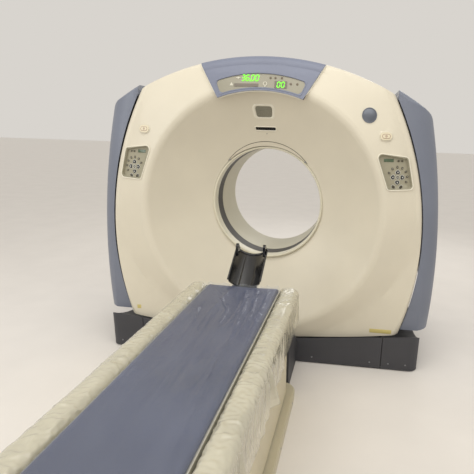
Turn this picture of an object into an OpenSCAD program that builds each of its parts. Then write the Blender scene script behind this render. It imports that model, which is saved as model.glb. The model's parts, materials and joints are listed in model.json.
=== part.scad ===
// CT scanner: a tilting ring gantry with its patient table.
// Frame: the origin is on the floor under the scan centre, +X to the right seen from the table,
// +Y from the table into the gantry, +Z up. Sizes are in millimetres.

/* [Gantry outline] */
// Height of the scan centre above the floor
iso_z = 1015; // [1000:1:1030]
// Largest half width, over the side covers
half_w = 1115; // [1105:1:1140]
// Height of the front cover's top edge
top_z = 1885; // [1875:1:1900]
// Radius of the top edge
top_r = 1625; // [1600:1:1700]
// Half width of the front cover at its widest
front_half_w = 997; // [985:1:1000]
// Radius of the front cover's side edge
side_r = 1840; // [1800:1:1900]
// Height at which the front cover is widest
side_z = 800; // [780:1:820]
// Lowest point of the front cover
bottom_z = 165; // [160:1:175]
// Radius of the front cover's bottom edge
bottom_r = 5800; // [5500:10:6500]
// Wall of the moulded covers
wall = 6; // [4:0.5:8]
// Gap between neighbouring covers
seam = 5; // [3:0.5:8]

/* [Front cover] */
// Radius of the crest that rings the funnel
ridge_r = 745; // [735:1:755]
// Height of the crest's centre
ridge_z = 978; // [970:1:990]
// Distance of the crest in front of the scan centre
ridge_d = 450; // [440:1:455]
// Backward fall of the face outside the crest, in mm for each mm of radius
face_fall = 0.3; // [0.26:0.01:0.32]
// Rounding of the crest
ridge_round = 60; // [40:1:70]
// Depth of the funnel's inner end in front of the scan centre
funnel_d = 190; // [180:1:195]
// Radius of the funnel's inner end
funnel_r = 330; // [325:1:330]
// Radius of the funnel's hollow profile
funnel_curve = 1400; // [1200:10:2000]
// Distance of the flat lower corners in front of the scan centre, at the floor
corner_d = 424; // [420:1:428]
// Lean of the flat lower corners
corner_lean = 3.64; // [3:0.02:4]
// Rounding of the side edge
side_round = 40; // [30:1:45]
// Rounding of the top edge
top_round = 55; // [45:1:60]
// Distance of the front cover's rear edge in front of the scan centre
front_rim_d = 300; // [290:1:310]
// Depth of the side edge's front, in front of the scan centre
side_edge_d = 392; // [388:1:396]
// Depth of the top edge's front, in front of the scan centre
top_edge_d = 405; // [400:1:410]
// Backward lean of the side edges, in mm for each mm outwards
edge_lean = 1.7; // [1.5:0.1:1.9]

/* [Side, top and rear covers] */
// Radius of the side cover's outer silhouette
blue_r = 4200; // [3800:10:5000]
// Height at which the side cover is widest
blue_z = 600; // [560:1:640]
// How far the side cover's shoulder stands above the top edge's arc
shoulder_rise = 35; // [25:1:40]
// Rounding of the shoulder
shoulder_round = 80; // [60:1:90]
// Rounding of the side cover's upright edges
blue_round = 150; // [120:1:160]
// Half width of the top cover, where the side covers begin
top_cover_half = 780; // [770:1:785]
// Height of the side cover's lower edge in front
side_bottom_z = 262; // [255:1:275]
// Height of the side and rear covers' lower edge behind
rear_bottom_z = 455; // [450:1:480]
// Distance of the rear cover behind the scan centre
rear_d = 555; // [545:1:560]
// Depth of the rear cover's rim
rear_rim = 110; // [90:1:130]
// Depth of the side covers' front, in front of the scan centre
blue_edge_d = 384; // [380:1:388]
// Depth to which the front cover's lower corners are cut back beside the stanchions
corner_rim_d = 365; // [360:1:370]
// Depth lost by the rear cover between its middle and its edge
rear_fall = 120; // [110:1:130]
// Height at which the top cover starts
top_cover_z = 1610; // [1600:1:1620]

/* [Bore] */
// Radius of the patient opening
bore_r = 352; // [350:1:354]
// Hole of the front cover round the opening
bore_hole_r = 368; // [367:0.5:370]
// Front end of the bore ring, in front of the scan centre
bore_front_d = 216; // [212:1:220]
// Front end of the scan window
window_front_d = 150; // [145:1:155]
// Rear end of the scan window
window_rear_d = 40; // [35:1:45]
// Wall of the bore liners
bore_wall = 5; // [4:0.5:6]
// Where the rear flare begins behind the scan centre
flare_d = 300; // [280:1:320]
// Radius of the rear flare's mouth
flare_r = 500; // [480:1:510]

/* [Rotor] */
// Outer radius of the rotor
rotor_r = 735; // [720:1:740]
// Inner radius of the rotor
rotor_in_r = 400; // [395:1:405]
// Front face of the rotor plate behind the scan centre
rotor_plate_y = 100; // [95:1:105]
// Thickness of the rotor plate
rotor_plate_t = 35; // [30:1:38]
// Front end of the parts on the rotor, in front of the scan centre
rotor_front_d = 168; // [160:1:172]
// Outer radius of the hub in the main bearing
hub_r = 440; // [435:1:445]
// Outer radius of the main bearing
bearing_r = 500; // [490:1:510]
// Radius of the belt track
track_r = 700; // [690:1:705]
// Radius of the motor pulley
pulley_r = 70; // [60:1:75]
// Sideways place of the motor
motor_x = -680; // [-690:1:-670]
// Height of the motor below the scan centre
motor_drop = 545; // [540:1:550]
// Thickness of the drive belt
belt_t = 6; // [4:0.5:6]
// Width of the drive belt
belt_w = 26; // [20:1:28]
// Thickness of the main bearing ring
bearing_t = 55; // [50:1:58]
// Radius of the drive motor's shaft
shaft_r = 15; // [14:0.5:16]
// Length of the shaft inside the motor
shaft_seat = 40; // [35:1:45]
// Radius of the drive motor
motor_r = 75; // [70:1:76]
// Length of the drive motor
motor_l = 170; // [160:1:175]
// Outer radius of the detector arc about the tube's focus
detector_r = 1035; // [1030:1:1038]
// Inner radius of the detector arc
detector_in_r = 952; // [945:1:960]
// Height of the high-voltage generator's boxes
generator_h = 240; // [230:1:245]
// Width of the cooling unit
cooler_w = 200; // [195:1:205]
// Height of the cooling unit
cooler_h = 190; // [180:1:195]
// Reach of the rotor's boxes in front of the scan centre
rotor_front = 150; // [145:1:152]

/* [Tilt frame and stanchions] */
// Front face of the ring plate behind the scan centre
frame_y = 200; // [200:1:205]
// Thickness of the ring plate
frame_t = 60; // [50:1:70]
// Outer radius of the ring plate
frame_r = 800; // [790:1:805]
// Outer face of the tilt frame's side arms
arm_x = 885; // [880:1:890]
// Radius of the tilt pin
pin_r = 45; // [40:1:50]
// Running clearance of the tilt pin
pin_gap = 0.05; // [0.02:0.01:0.08]
// Inner face of the stanchions
stanchion_x = 905; // [900:1:910]
// Thickness of the stanchions
stanchion_t = 80; // [70:1:85]
// Radius of the stanchion's head
stanchion_r = 110; // [100:1:120]
// Height of the tilt frame's side arms
arm_h = 280; // [270:1:290]
// Reach of the side arms in front of the scan centre
arm_front = 70; // [66:1:72]
// Inner face of the side arms' thick ends
arm_in_x = 765; // [760:1:770]

/* [Base] */
// Front of the base covers, in front of the scan centre
base_d = 450; // [445:1:455]
// Rear of the base covers behind the scan centre
base_back = 550; // [545:1:560]
// Half width of the base
base_half_w = 1050; // [1045:1:1055]
// Place of the seam between the front and end covers
base_seam_x = 810; // [800:1:820]
// Height of the floor rails
rail_h = 90; // [80:1:95]
// Inner face of the floor rails
rail_x = 865; // [860:1:870]
// Width of the floor rails
rail_w = 135; // [130:1:140]
// Radius of the floor anchor holes
anchor_r = 9; // [7:0.5:11]
// Height of the covers' lower edge above the floor
toe_gap = 6; // [4:1:10]
// Wall of the base covers
base_wall = 5; // [4:0.5:6]
// Rear face of the front base cover, in front of the scan centre
base_depth_back = 360; // [355:1:362]
// Narrowing of the space that the tilting covers sweep, in mm for each mm outwards
sweep_fall = 0.085; // [0.08:0.001:0.09]
// Rounding of the end covers' outer corners
end_round = 60; // [50:1:65]
// Half width of the box between the base and the table
link_half_w = 255; // [250:1:258]
// Height of the base covers before the tilting covers' space is cut away
base_cover_h = 300; // [295:1:305]
// Height of the box between the base and the table
link_h = 290; // [285:1:295]
// Least gap between the tilting covers and the base
sweep_gap = 13; // [12.8:0.1:13.2]

/* [Table] */
// Top of the pad above the floor
pad_top_z = 660; // [655:1:665]
// Head end of the cradle in front of the scan centre
table_d = 840; // [835:1:860]
// Length of the cradle
cradle_l = 2400; // [2300:10:2500]
// Width of the cradle
cradle_w = 410; // [400:1:412]
// Thickness of the cradle at its edges
cradle_t = 48; // [44:1:50]
// Width over the side rails
table_w = 606; // [600:1:612]
// Underside of the table frame above the floor
frame_bottom_z = 500; // [498:1:502]
// Length of the table frame
frame_l = 2220; // [2200:10:2300]
// Height of the side rails
side_rail_h = 142; // [138:1:144]
// Width of the floor plinth
plinth_w = 610; // [600:1:620]
// Length of the floor plinth
plinth_l = 1900; // [1850:10:1950]
// Height of the floor plinth
plinth_h = 55; // [50:1:60]
// Half width of the moving skirt
skirt_half_w = 262; // [258:1:266]
// Length of the moving skirt
skirt_l = 1640; // [1600:10:1700]
// Wall of the skirts
skirt_wall = 4; // [3:0.5:5]
// Thickness of the cover film
film_t = 1.5; // [1:0.1:2]
// How far the film hangs below the side rails' top
film_drop = 185; // [170:1:190]
// Rounding of the plinth's corners
plinth_round = 90; // [80:1:95]
// Rounding of the skirts' corners
skirt_round = 40; // [36:1:44]
// Gap between the plinth and the outer skirt
skirt_gap = 11; // [9:0.5:13]
// Radius of the inner lift column
column_r = 80; // [76:1:82]
// Thickness of the table frame's plate
frame_plate = 12; // [10:0.5:13]
// Height of the carriage's guide rails
guide_h = 53; // [50:1:54]
// Place of the guide rails beside the middle
guide_x = 160; // [150:1:165]
// Gap between the cradle and the side rails
rail_gap = 8; // [7:0.5:9]
// Width of the carriage
carriage_w = 384; // [376:1:386]
// Length of the carriage
carriage_l = 1360; // [1340:1:1370]
// Thickness of the carriage
carriage_t = 31; // [30:0.5:32]
// Depth of the hollow across the cradle
cradle_hollow = 25; // [22:0.5:26]

/* [Head holder] */
// Half width of the holder
holder_half_w = 88; // [85:1:92]
// Slope of the holder
holder_tilt = 33; // [30:0.5:36]
// Length of the trough
holder_l = 250; // [240:1:260]
// Wall of the trough
holder_wall = 10; // [8:0.5:12]

/* [Display and keypads] */
// How far the display housing stands above the face
display_rise = 14; // [10:1:18]
// Half width of the display housing at its top corners
display_half_w = 362; // [355:1:370]
// Radius of the housing's lower edge about the crest's centre
display_low_r = 716; // [712:1:720]
// Inner radius of the display window about the crest's centre
window_low_r = 727; // [725:1:730]
// Outer radius of the display window about the crest's centre
window_high_r = 812; // [805:1:818]
// Sideways place of the keypads' middle
keypad_x = 805; // [800:1:810]
// Height of the keypads' middle
keypad_z = 1266; // [1260:1:1272]
// Depth of the keypads' floor
keypad_depth = 14; // [10:1:16]
// Sideways place of the stop buttons
stop_x = 727; // [720:1:732]
// Height of the stop buttons
stop_z = 1465; // [1460:1:1470]
// Clearance of pieces set into the covers
fit = 0.4; // [0.3:0.1:0.6]
// Rear face of the display housing, in front of the scan centre
display_back_d = 385; // [382:1:387]
// Wall of the display housing
display_wall = 8; // [7:0.5:9]

/* [Hidden] */
fine = 240;
belt_y = rotor_plate_y + rotor_plate_t + 6;
// Radius of the space that the tilting covers sweep, in whole mm
sweep_r = round(norm([ridge_d, iso_z - bottom_z]) + sweep_gap);
round_fn = 96;
arc_steps = 6;
far = 1400;
cream = [0.82, 0.78, 0.67];
blue_grey = [0.43, 0.46, 0.52];
dark_grey = [0.25, 0.25, 0.26];
steel = [0.62, 0.64, 0.66];
black = [0.05, 0.05, 0.05];
panel_grey = [0.58, 0.56, 0.48];

function unit(v) = v / norm(v);
function dot(a, b) = a[0] * b[0] + a[1] * b[1];
// Half of the angle at corner b of the path a, b, c
function half_angle(a, b, c) = acos(dot(unit(a - b), unit(c - b))) / 2;
// Centre of a rounding of radius r at corner b
function round_centre(a, b, c, r) =
    b + unit(unit(a - b) + unit(c - b)) * r / sin(half_angle(a, b, c));
// Where the rounding at corner b meets the edge towards a
function round_start(a, b, c, r) = b + unit(a - b) * r / tan(half_angle(a, b, c));

// A flat outline with convex corners, all rounded by r
module rounded_outline(points, r) {
    n = len(points);
    polygon([for (i = [0:n - 1], k = [0:1])
        let (a = points[(i + n - 1) % n], b = points[i], c = points[(i + 1) % n])
        k == 0 ? round_start(a, b, c, r) : round_start(c, b, a, r)]);
    for (i = [0:n - 1])
        translate(round_centre(points[(i + n - 1) % n], points[i], points[(i + 1) % n], r))
            circle(r = r, $fn = round_fn);
}

// Points of the rounding at corner b of the path a, b, c, in short chords
function corner_arc(a, b, c, r) =
    let (mid = round_centre(a, b, c, r), s = round_start(a, b, c, r) - mid,
        e = round_start(c, b, a, r) - mid, from = atan2(s[1], s[0]),
        turn = (atan2(e[1], e[0]) - from + 900) % 360 - 180)
    [for (k = [0:arc_steps]) mid + r * [cos(from + turn * k / arc_steps), sin(from + turn * k / arc_steps)]];

// A flat outline with skew convex corners, rounded by r in short chords
module chorded_outline(points, r) {
    n = len(points);
    polygon([for (i = [0:n - 1])
        each corner_arc(points[(i + n - 1) % n], points[i], points[(i + 1) % n], r)]);
}

// A front view outline, x across and y up, made into a block from y0 to y1
module along_y(y0, y1) {
    translate([0, y1, 0]) rotate([90, 0, 0]) linear_extrude(height = y1 - y0) children();
}

// A profile of radius against depth, turned about an axis along Y
module about_y(x, z) {
    translate([x, 0, z]) rotate([-90, 0, 0]) rotate_extrude($fn = fine) children();
}

// A ring about the scan axis
module ring_y(r_in, r_out, y0, y1) {
    about_y(0, iso_z) translate([r_in, y0]) square([r_out - r_in, y1 - y0]);
}

// A round bar along Y
module bar_y(x, z, r, y0, y1) {
    translate([x, y1, z]) rotate([90, 0, 0]) cylinder(r = r, h = y1 - y0, $fn = round_fn);
}

module mirrored() {
    children();
    mirror([1, 0, 0]) children();
}

// Outline of the cream covers seen from the front, drawn in by d
module front_outline(d = 0) {
    intersection() {
        translate([0, top_z - top_r]) circle(r = top_r - d, $fn = fine);
        translate([front_half_w - side_r, side_z]) circle(r = side_r - d, $fn = fine);
        translate([side_r - front_half_w, side_z]) circle(r = side_r - d, $fn = fine);
        translate([0, bottom_z + bottom_r]) circle(r = bottom_r - d, $fn = fine);
    }
}

// The funnel's hollow arc runs from its inner end to the crest
funnel_end = [funnel_r, -funnel_d];
crest = [ridge_r, -ridge_d];
chord = crest - funnel_end;
arc_centre = (funnel_end + crest) / 2
    + unit([chord[1], -chord[0]]) * sqrt(pow(funnel_curve, 2) - pow(norm(chord) / 2, 2));
fall_dir = unit([1, face_fall]);
fall_normal = [-fall_dir[1], fall_dir[0]];
// Centre of the crest's rounding: tangent to the falling face and to the funnel's arc
crest_start = crest + fall_normal * ridge_round - arc_centre;
crest_slide = -dot(crest_start, fall_dir) + sqrt(pow(dot(crest_start, fall_dir), 2)
    - dot(crest_start, crest_start) + pow(funnel_curve + ridge_round, 2));
crest_centre = crest + fall_normal * ridge_round + fall_dir * crest_slide;
crest_inner = arc_centre + unit(crest_centre - arc_centre) * funnel_curve;
crest_outer = crest_centre - fall_normal * ridge_round;

// Profile of everything behind the funnel, the crest and the falling face, moved back by d
module face_profile(d = 0) {
    start_r = d == 0 ? funnel_r : funnel_r - 3 * wall;
    translate([0, d]) {
        difference() {
            polygon([[start_r, far], [start_r, -ridge_d + 200], crest,
                [far, -ridge_d + face_fall * (far - ridge_r)], [far, far]]);
            translate(arc_centre) circle(r = funnel_curve, $fn = fine * 2);
            polygon([crest_centre, crest_inner, 2 * crest - crest_centre, crest_outer]);
        }
        translate(crest_centre) circle(r = ridge_round, $fn = fine);
    }
}

// Everything behind the front cover's face, moved back by d: the turned face and the flat corners
module face_solid(d = 0) {
    about_y(0, ridge_z) face_profile(d);
    difference() {
        translate([-far, -corner_d + d, 0]) rotate([-corner_lean, 0, 0]) cube([2 * far, far, 2 * far]);
        bar_y(0, ridge_z, ridge_r + 80, -far, far);
    }
}

// Limits a form to the inside of an arc, with a rounded front edge at depth y, drawn in by d.
// An open limit leaves what stands in front of the inner face alone.
module edge_limit(x, z, r, y, edge_round, lean, d, open) {
    run = edge_round * 0.96;
    translate([x, y, z]) rotate([-lean, 0, 0]) rotate([-90, 0, 0]) rotate_extrude($fn = fine) {
        polygon([[0, open ? -far / 2 : d], [open ? r - 5 * edge_round : 0, open ? -far / 2 : d],
            [open ? r - 4 * edge_round : 1, open ? -2 * edge_round : d], [r - run, d],
            [r - run, edge_round], [r - run + edge_round - d, edge_round],
            [r - run + edge_round - d, far], [0, far]]);
        translate([r - run, edge_round]) circle(r = edge_round - d, $fn = round_fn);
    }
}

module front_side_limit(d) {
    edge_limit(front_half_w - side_r, side_z, side_r, -side_edge_d, side_round, edge_lean, d, true);
}

// The whole front form of the gantry, drawn in by d
module front_form(d = 0) {
    intersection() {
        along_y(-far / 2, far / 2) front_outline(d);
        face_solid(d);
        front_side_limit(d);
        mirror([1, 0, 0]) front_side_limit(d);
        edge_limit(0, top_z - top_r, top_r, -top_edge_d, top_round, 0, d, true);
    }
}

// The whole rear form of the gantry, drawn in by d
module rear_form(d = 0) {
    intersection() {
        along_y(-far / 2, far) front_outline(d);
        about_y(0, iso_z) polygon([[0, -far], [0, rear_d - d], [flare_r + 150, rear_d - d],
            [far, rear_d - rear_fall - d], [far, -far]]);
    }
}

// Upper meeting point of two circles
function circles_meet(c1, r1, c2, r2) =
    let (gap = norm(c2 - c1), u = unit(c2 - c1), a = (r1 * r1 - r2 * r2 + gap * gap) / (2 * gap))
    c1 + u * a + [-u[1], u[0]] * sqrt(r1 * r1 - a * a);

blue_centre = [half_w - blue_r, blue_z];
shoulder_centre = circles_meet(blue_centre, blue_r - shoulder_round,
    [0, top_z - top_r], top_r + shoulder_rise - shoulder_round);

// Outline of the right side cover's outer form seen from the front, drawn in by d
module side_outline(d = 0) {
    to_side = unit(shoulder_centre - blue_centre);
    to_top = unit(shoulder_centre - [0, top_z - top_r]);
    difference() {
        intersection() {
            translate(blue_centre) circle(r = blue_r - d, $fn = fine * 2);
            translate([0, top_z - top_r]) circle(r = top_r + shoulder_rise - d, $fn = fine);
        }
        translate(shoulder_centre) polygon([[0, 0], to_side * shoulder_round,
            (to_side + to_top) * shoulder_round * 1.5, to_top * shoulder_round]);
    }
    translate(shoulder_centre) circle(r = shoulder_round - d, $fn = round_fn);
}

// The whole outer form of the right side cover, drawn in by d
module side_form(d = 0) {
    intersection() {
        along_y(-far / 2, far / 2) side_outline(d);
        edge_limit(blue_centre[0], blue_centre[1], blue_r, -blue_edge_d, blue_round, edge_lean, d, false);
        edge_limit(0, top_z - top_r, top_r + shoulder_rise, -blue_edge_d + 8, shoulder_round, 0, d, false);
        mirror([0, 1, 0])
            edge_limit(blue_centre[0], blue_centre[1], blue_r, -rear_d, blue_round * 0.8, 0, d, false);
    }
}

// A point on the falling face, turned so that the local Y axis goes straight into the face
module on_face(x, z) {
    r = norm([x, z - ridge_z]);
    steep = sqrt(1 + face_fall * face_fall);
    translate([x, -ridge_d + face_fall * (r - ridge_r), z])
        rotate([-asin(face_fall * (z - ridge_z) / r / steep), 0, atan(face_fall * x / r)]) children();
}

// Outline of the keypad round its middle, grown by g
module keypad_outline(g = 0) {
    chorded_outline([[-126 - g, 105 + g], [-48 - g, -102 - g], [108 + g, -96 - g], [66 + g, 84 + g]],
        22 + g);
}

// Outline of the stop button, grown by g
module stop_outline(g = 0) {
    chorded_outline([[-34 - g, 22 + g], [-34 - g, -22 - g], [34 + g, -22 - g], [34 + g, 22 + g]],
        21.5 + g);
}

// Outline of the display housing seen from the front, grown by g
module display_outline(g = 0) {
    side_run = 0.61;
    difference() {
        intersection() {
            translate([0, top_z - top_r]) circle(r = top_r + g, $fn = fine);
            polygon([[display_half_w + 40 * side_run + g, 1878],
                [display_half_w + 300 * side_run + g, 2300],
                [-display_half_w - 300 * side_run - g, 2300],
                [-display_half_w - 40 * side_run - g, 1878],
                [-display_half_w + 248 * side_run - g, 1590],
                [display_half_w - 248 * side_run + g, 1590]]);
        }
        translate([0, ridge_z]) circle(r = display_low_r - g, $fn = fine);
    }
}

// Outline of the display window, grown by g
module window_outline(g = 0) {
    intersection() {
        difference() {
            translate([0, ridge_z]) circle(r = window_high_r + g, $fn = fine);
            translate([0, ridge_z]) circle(r = window_low_r - g, $fn = fine);
        }
        polygon([[-318 - g, 1850], [-222 - g, 1640], [222 + g, 1640], [318 + g, 1850]]);
    }
}

// Everything behind the display's own face, which carries the falling face on inwards
module display_face(d = 0) {
    about_y(0, ridge_z) polygon([[0, -ridge_d - face_fall * ridge_r + d],
        [far, -ridge_d + face_fall * (far - ridge_r) + d], [far, far], [0, far]]);
}

module alignment_outline(g = 0) {
    chorded_outline([[-50 - g, 1552 - g], [50 + g, 1552 - g], [57 + g, 1617 + g], [-57 - g, 1617 + g]],
        12 + g);
}

module intercom_outline(g = 0) {
    chorded_outline([[-62 - g, 1480 - g], [62 + g, 1480 - g], [62 + g, 1496 + g], [-62 - g, 1496 + g]],
        5 + g);
}

// Crescent of the bore's visor, drawn in by d
module visor_outline(d = 0) {
    difference() {
        translate([0, iso_z + 72]) circle(r = 322 - d, $fn = fine);
        translate([0, iso_z]) circle(r = bore_hole_r + 2 + d, $fn = fine);
        translate([-far, iso_z - far]) square([2 * far, far + 250]);
    }
}

module front_cover() {
    color(cream) {
        difference() {
            intersection() {
                difference() {
                    front_form();
                    front_form(wall);
                }
                union() {
                    translate([-far, -far, 0]) cube([2 * far, far - front_rim_d, 2 * far]);
                    bar_y(0, ridge_z, ridge_r, -far, far);
                }
            }
            bar_y(0, iso_z, bore_hole_r, -far, far);
            // The lower corners are shallow, so that they pass the stanchions
            mirrored() translate([stanchion_x - 10, -corner_rim_d, 0]) cube([far, far, 520]);
            along_y(-far, -display_back_d + fit) display_outline(fit);
            along_y(-far, 0) alignment_outline(fit);
            along_y(-far, 0) intercom_outline(fit);
            mirrored() {
                on_face(keypad_x, keypad_z) along_y(-80, 80) keypad_outline(fit);
                on_face(stop_x, stop_z) along_y(-80, 80) stop_outline(fit);
            }
        }
        mirrored() on_face(stop_x, stop_z) along_y(-3, wall) difference() {
            stop_outline(6);
            stop_outline(fit);
        }
    }
}

module rear_cover() {
    color(cream) difference() {
        intersection() {
            difference() {
                rear_form();
                rear_form(wall);
            }
            translate([-far, rear_d - rear_rim, 300]) cube([2 * far, far, 2 * far]);
        }
        bar_y(0, iso_z, flare_r + bore_wall + fit, -far, far);
        mirrored() translate([rail_x, 0, 0]) cube([far, far, rear_bottom_z]);
    }
}

// Lower edge of the side covers seen from the side, from front to rear
module side_lower_edge() {
    polygon([[-far, -far], [-far, side_bottom_z], [-300, side_bottom_z], [150, side_bottom_z + 45],
        [400, rear_bottom_z], [far, rear_bottom_z], [far, -far]]);
}

// A side view outline, y across and z up, made into a block from x0 to x1
module along_x(x0, x1) {
    translate([x0, 0, 0]) rotate([90, 0, 90]) linear_extrude(height = x1 - x0) children();
}

module side_cover() {
    flange_x = top_cover_half + seam;
    color(blue_grey) difference() {
        intersection() {
            side_form();
            translate([flange_x, -far, 0]) cube([far, 2 * far, 2 * far]);
        }
        difference() {
            side_form(wall);
            translate([0, -far, 1620]) cube([flange_x + wall, 2 * far, far]);
        }
        along_y(-far, -front_rim_d + seam) front_outline(-seam);
        along_y(rear_d - rear_rim - seam, far) front_outline(-seam);
        along_x(0, far) side_lower_edge();
    }
}

module side_cover_right() { side_cover(); }
module side_cover_left() { mirror([1, 0, 0]) side_cover(); }

module top_cover() {
    color(cream) difference() {
        intersection() {
            along_y(-front_rim_d + seam, rear_d - rear_rim - seam) difference() {
                front_outline();
                translate([-top_cover_half + wall, -far]) square([2 * (top_cover_half - wall), far]);
            }
            translate([-top_cover_half, -far, top_cover_z]) cube([2 * top_cover_half, 2 * far, far]);
        }
        along_y(-far, far) intersection() {
            front_outline(wall);
            translate([-top_cover_half + wall, 0]) square([2 * (top_cover_half - wall), 2 * far]);
        }
    }
}

module bore_ring() {
    lip = (bore_hole_r - fit - bore_r) / 2;
    color([0.88, 0.87, 0.80]) about_y(0, iso_z) {
        translate([bore_r, -bore_front_d + lip]) square([2 * lip, bore_front_d - lip - window_front_d]);
        translate([bore_r + lip, -bore_front_d + lip]) circle(r = lip, $fn = round_fn);
    }
}

module scan_window() {
    color([0.16, 0.14, 0.11]) ring_y(bore_r + 1, bore_r + 1 + bore_wall, -window_front_d, -window_rear_d);
}

module rear_bore_liner() {
    color([0.86, 0.85, 0.78]) about_y(0, iso_z)
        polygon([[bore_r, -window_rear_d], [bore_r, flare_d], [flare_r, rear_d],
            [flare_r + bore_wall, rear_d],
            [bore_r + bore_wall, flare_d - 3], [bore_r + bore_wall, -window_rear_d]]);
}

module bore_visor() {
    color([0.84, 0.80, 0.69]) difference() {
        intersection() {
            along_y(-far, 0) visor_outline();
            face_solid(-4);
        }
        face_solid(-fit);
    }
}

// The housing follows the front cover's rounded top edge
module display_edge(d = 0) {
    edge_limit(0, top_z - top_r, top_r, -top_edge_d - display_rise, top_round, 0, d, true);
}

module display_housing() {
    color([0.49, 0.51, 0.58]) difference() {
        intersection() {
            along_y(-far, -display_back_d) display_outline();
            display_face(-display_rise);
            display_edge();
        }
        intersection() {
            along_y(-far, far) display_outline(-display_wall);
            display_face(display_wall - display_rise);
            display_edge(display_wall);
        }
        along_y(-far, far) window_outline(fit);
    }
}

module display_window() {
    color(panel_grey) difference() {
        intersection() {
            along_y(-far, far) window_outline();
            display_face(4 - display_rise);
        }
        display_face(10 - display_rise);
    }
}

module alignment_window() {
    color(panel_grey) difference() {
        intersection() {
            along_y(-far, 0) alignment_outline();
            face_solid(3);
        }
        face_solid(9);
    }
}

module intercom_grille() {
    slots = 9;
    color(black) difference() {
        intersection() {
            along_y(-far, 0) intercom_outline();
            face_solid(1);
        }
        face_solid(7);
        for (i = [0:slots - 1])
            translate([(i - (slots - 1) / 2) * 12 - 3, -far, 1484]) cube([6, far, 8]);
    }
}

key_mid = [12, -28];
key_step = 29;

// An arrow key's outline, pointing up from the middle of the cross, grown by g
module key_outline(g = 0) {
    chorded_outline([[-11 - g, -8 - g], [11 + g, -8 - g], [11 + g, 3 + g], [0, 13 + 1.4 * g],
        [-11 - g, 3 + g]], 2);
}

// The four arrow keys lie in a cross: up, down, in and out
module at_key(turn) {
    translate([key_mid[0], 0, key_mid[1]]) rotate([0, turn, 0]) translate([0, 0, key_step]) children();
}

module arrow_key(turn) {
    color(black) on_face(keypad_x, keypad_z) at_key(turn)
        along_y(keypad_depth - 4, keypad_depth + 6) key_outline();
}

module keypad() {
    color(panel_grey) on_face(keypad_x, keypad_z) {
        difference() {
            along_y(-2, keypad_depth + 6) keypad_outline();
            along_y(-3, keypad_depth) keypad_outline(-6);
            for (turn = [0:90:270]) at_key(turn) along_y(0, keypad_depth + 7) key_outline(fit);
        }
        // Fixed keys of the membrane: a ring round the cross, two above, and the small display
        for (a = [-25, 5, 35, 65, 95, 125, 155])
            bar_y(key_mid[0] + 59 * cos(a), key_mid[1] + 59 * sin(a), 7, keypad_depth - 2, keypad_depth);
        for (x = [12, 34]) bar_y(x, 66, 6, keypad_depth - 2, keypad_depth);
        bar_y(key_mid[0], key_mid[1], 10, keypad_depth - 2, keypad_depth);
        translate([-78, keypad_depth - 1.5, 58]) cube([62, 1.5, 20]);
    }
}

module keypad_right() { keypad(); }
module keypad_left() { mirror([1, 0, 0]) keypad(); }
module right_up_key() { arrow_key(0); }
module right_in_key() { arrow_key(90); }
module right_down_key() { arrow_key(180); }
module right_out_key() { arrow_key(270); }
module left_up_key() { mirror([1, 0, 0]) arrow_key(0); }
module left_in_key() { mirror([1, 0, 0]) arrow_key(90); }
module left_down_key() { mirror([1, 0, 0]) arrow_key(180); }
module left_out_key() { mirror([1, 0, 0]) arrow_key(270); }

module stop_button() {
    color([0.85, 0.82, 0.74]) on_face(stop_x, stop_z) {
        along_y(-7, 16) stop_outline();
        along_y(-8.5, -6) stop_outline(-9);
    }
}

module right_stop_button() { stop_button(); }
module left_stop_button() { mirror([1, 0, 0]) stop_button(); }

motor_at = [motor_x, iso_z - motor_drop];

// Outline round the belt track and the motor pulley, grown by g, in short chords
module belt_outline(g) {
    reach = motor_at - [0, iso_z];
    turn = acos((track_r - pulley_r) / norm(reach));
    heading = atan2(reach[1], reach[0]);
    polygon([
        for (k = [0:120]) let (a = heading + turn + (360 - 2 * turn) * k / 120)
            [0, iso_z] + (track_r + g) * [cos(a), sin(a)],
        for (k = [0:24]) let (a = heading - turn + 2 * turn * k / 24)
            motor_at + (pulley_r + g) * [cos(a), sin(a)]]);
}

module drive_belt() {
    color(black) along_y(belt_y, belt_y + belt_w) difference() {
        belt_outline(fit + belt_t);
        belt_outline(fit);
    }
}

module drive_pulley() {
    color(steel) {
        bar_y(motor_at[0], motor_at[1], pulley_r, belt_y - 2, belt_y + belt_w + 2);
        bar_y(motor_at[0], motor_at[1], shaft_r, belt_y, frame_y + frame_t + shaft_seat);
    }
}

module drive_motor() {
    y0 = frame_y + frame_t;
    color(dark_grey) difference() {
        union() {
            bar_y(motor_at[0], motor_at[1], motor_r, y0, y0 + motor_l);
            translate([motor_at[0] - 40, y0 + 40, motor_at[1] - motor_r - 22]) cube([80, 90, 40]);
        }
        bar_y(motor_at[0], motor_at[1], shaft_r + pin_gap, y0 - 1, y0 + shaft_seat + 2);
    }
}

module tilt_frame() {
    color(steel) difference() {
        union() {
            ring_y(hub_r + 5, frame_r, frame_y, frame_y + frame_t);
            bar_y(motor_at[0], motor_at[1], motor_r + 15, frame_y, frame_y + frame_t);
            mirrored() {
                translate([frame_r - 100, frame_y, iso_z - arm_h / 2])
                    cube([arm_x - frame_r + 100, frame_t, arm_h]);
                translate([arm_in_x, -arm_front, iso_z - arm_h / 2])
                    cube([arm_x - arm_in_x, arm_front + frame_y + 1, arm_h]);
                translate([arm_x - 1, 0, iso_z]) rotate([0, 90, 0])
                    cylinder(r = pin_r, h = stanchion_x + stanchion_t - arm_x, $fn = round_fn);
                cover_posts();
            }
        }
        bar_y(0, iso_z, hub_r + 5, 0, far);
        bar_y(motor_at[0], motor_at[1], shaft_r + 5, 0, far);
        mirrored() for (a = [-50, 50])
            bar_y((frame_r - 165) * cos(a), iso_z + (frame_r - 165) * sin(a), 70, 0, far);
    }
}

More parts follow.
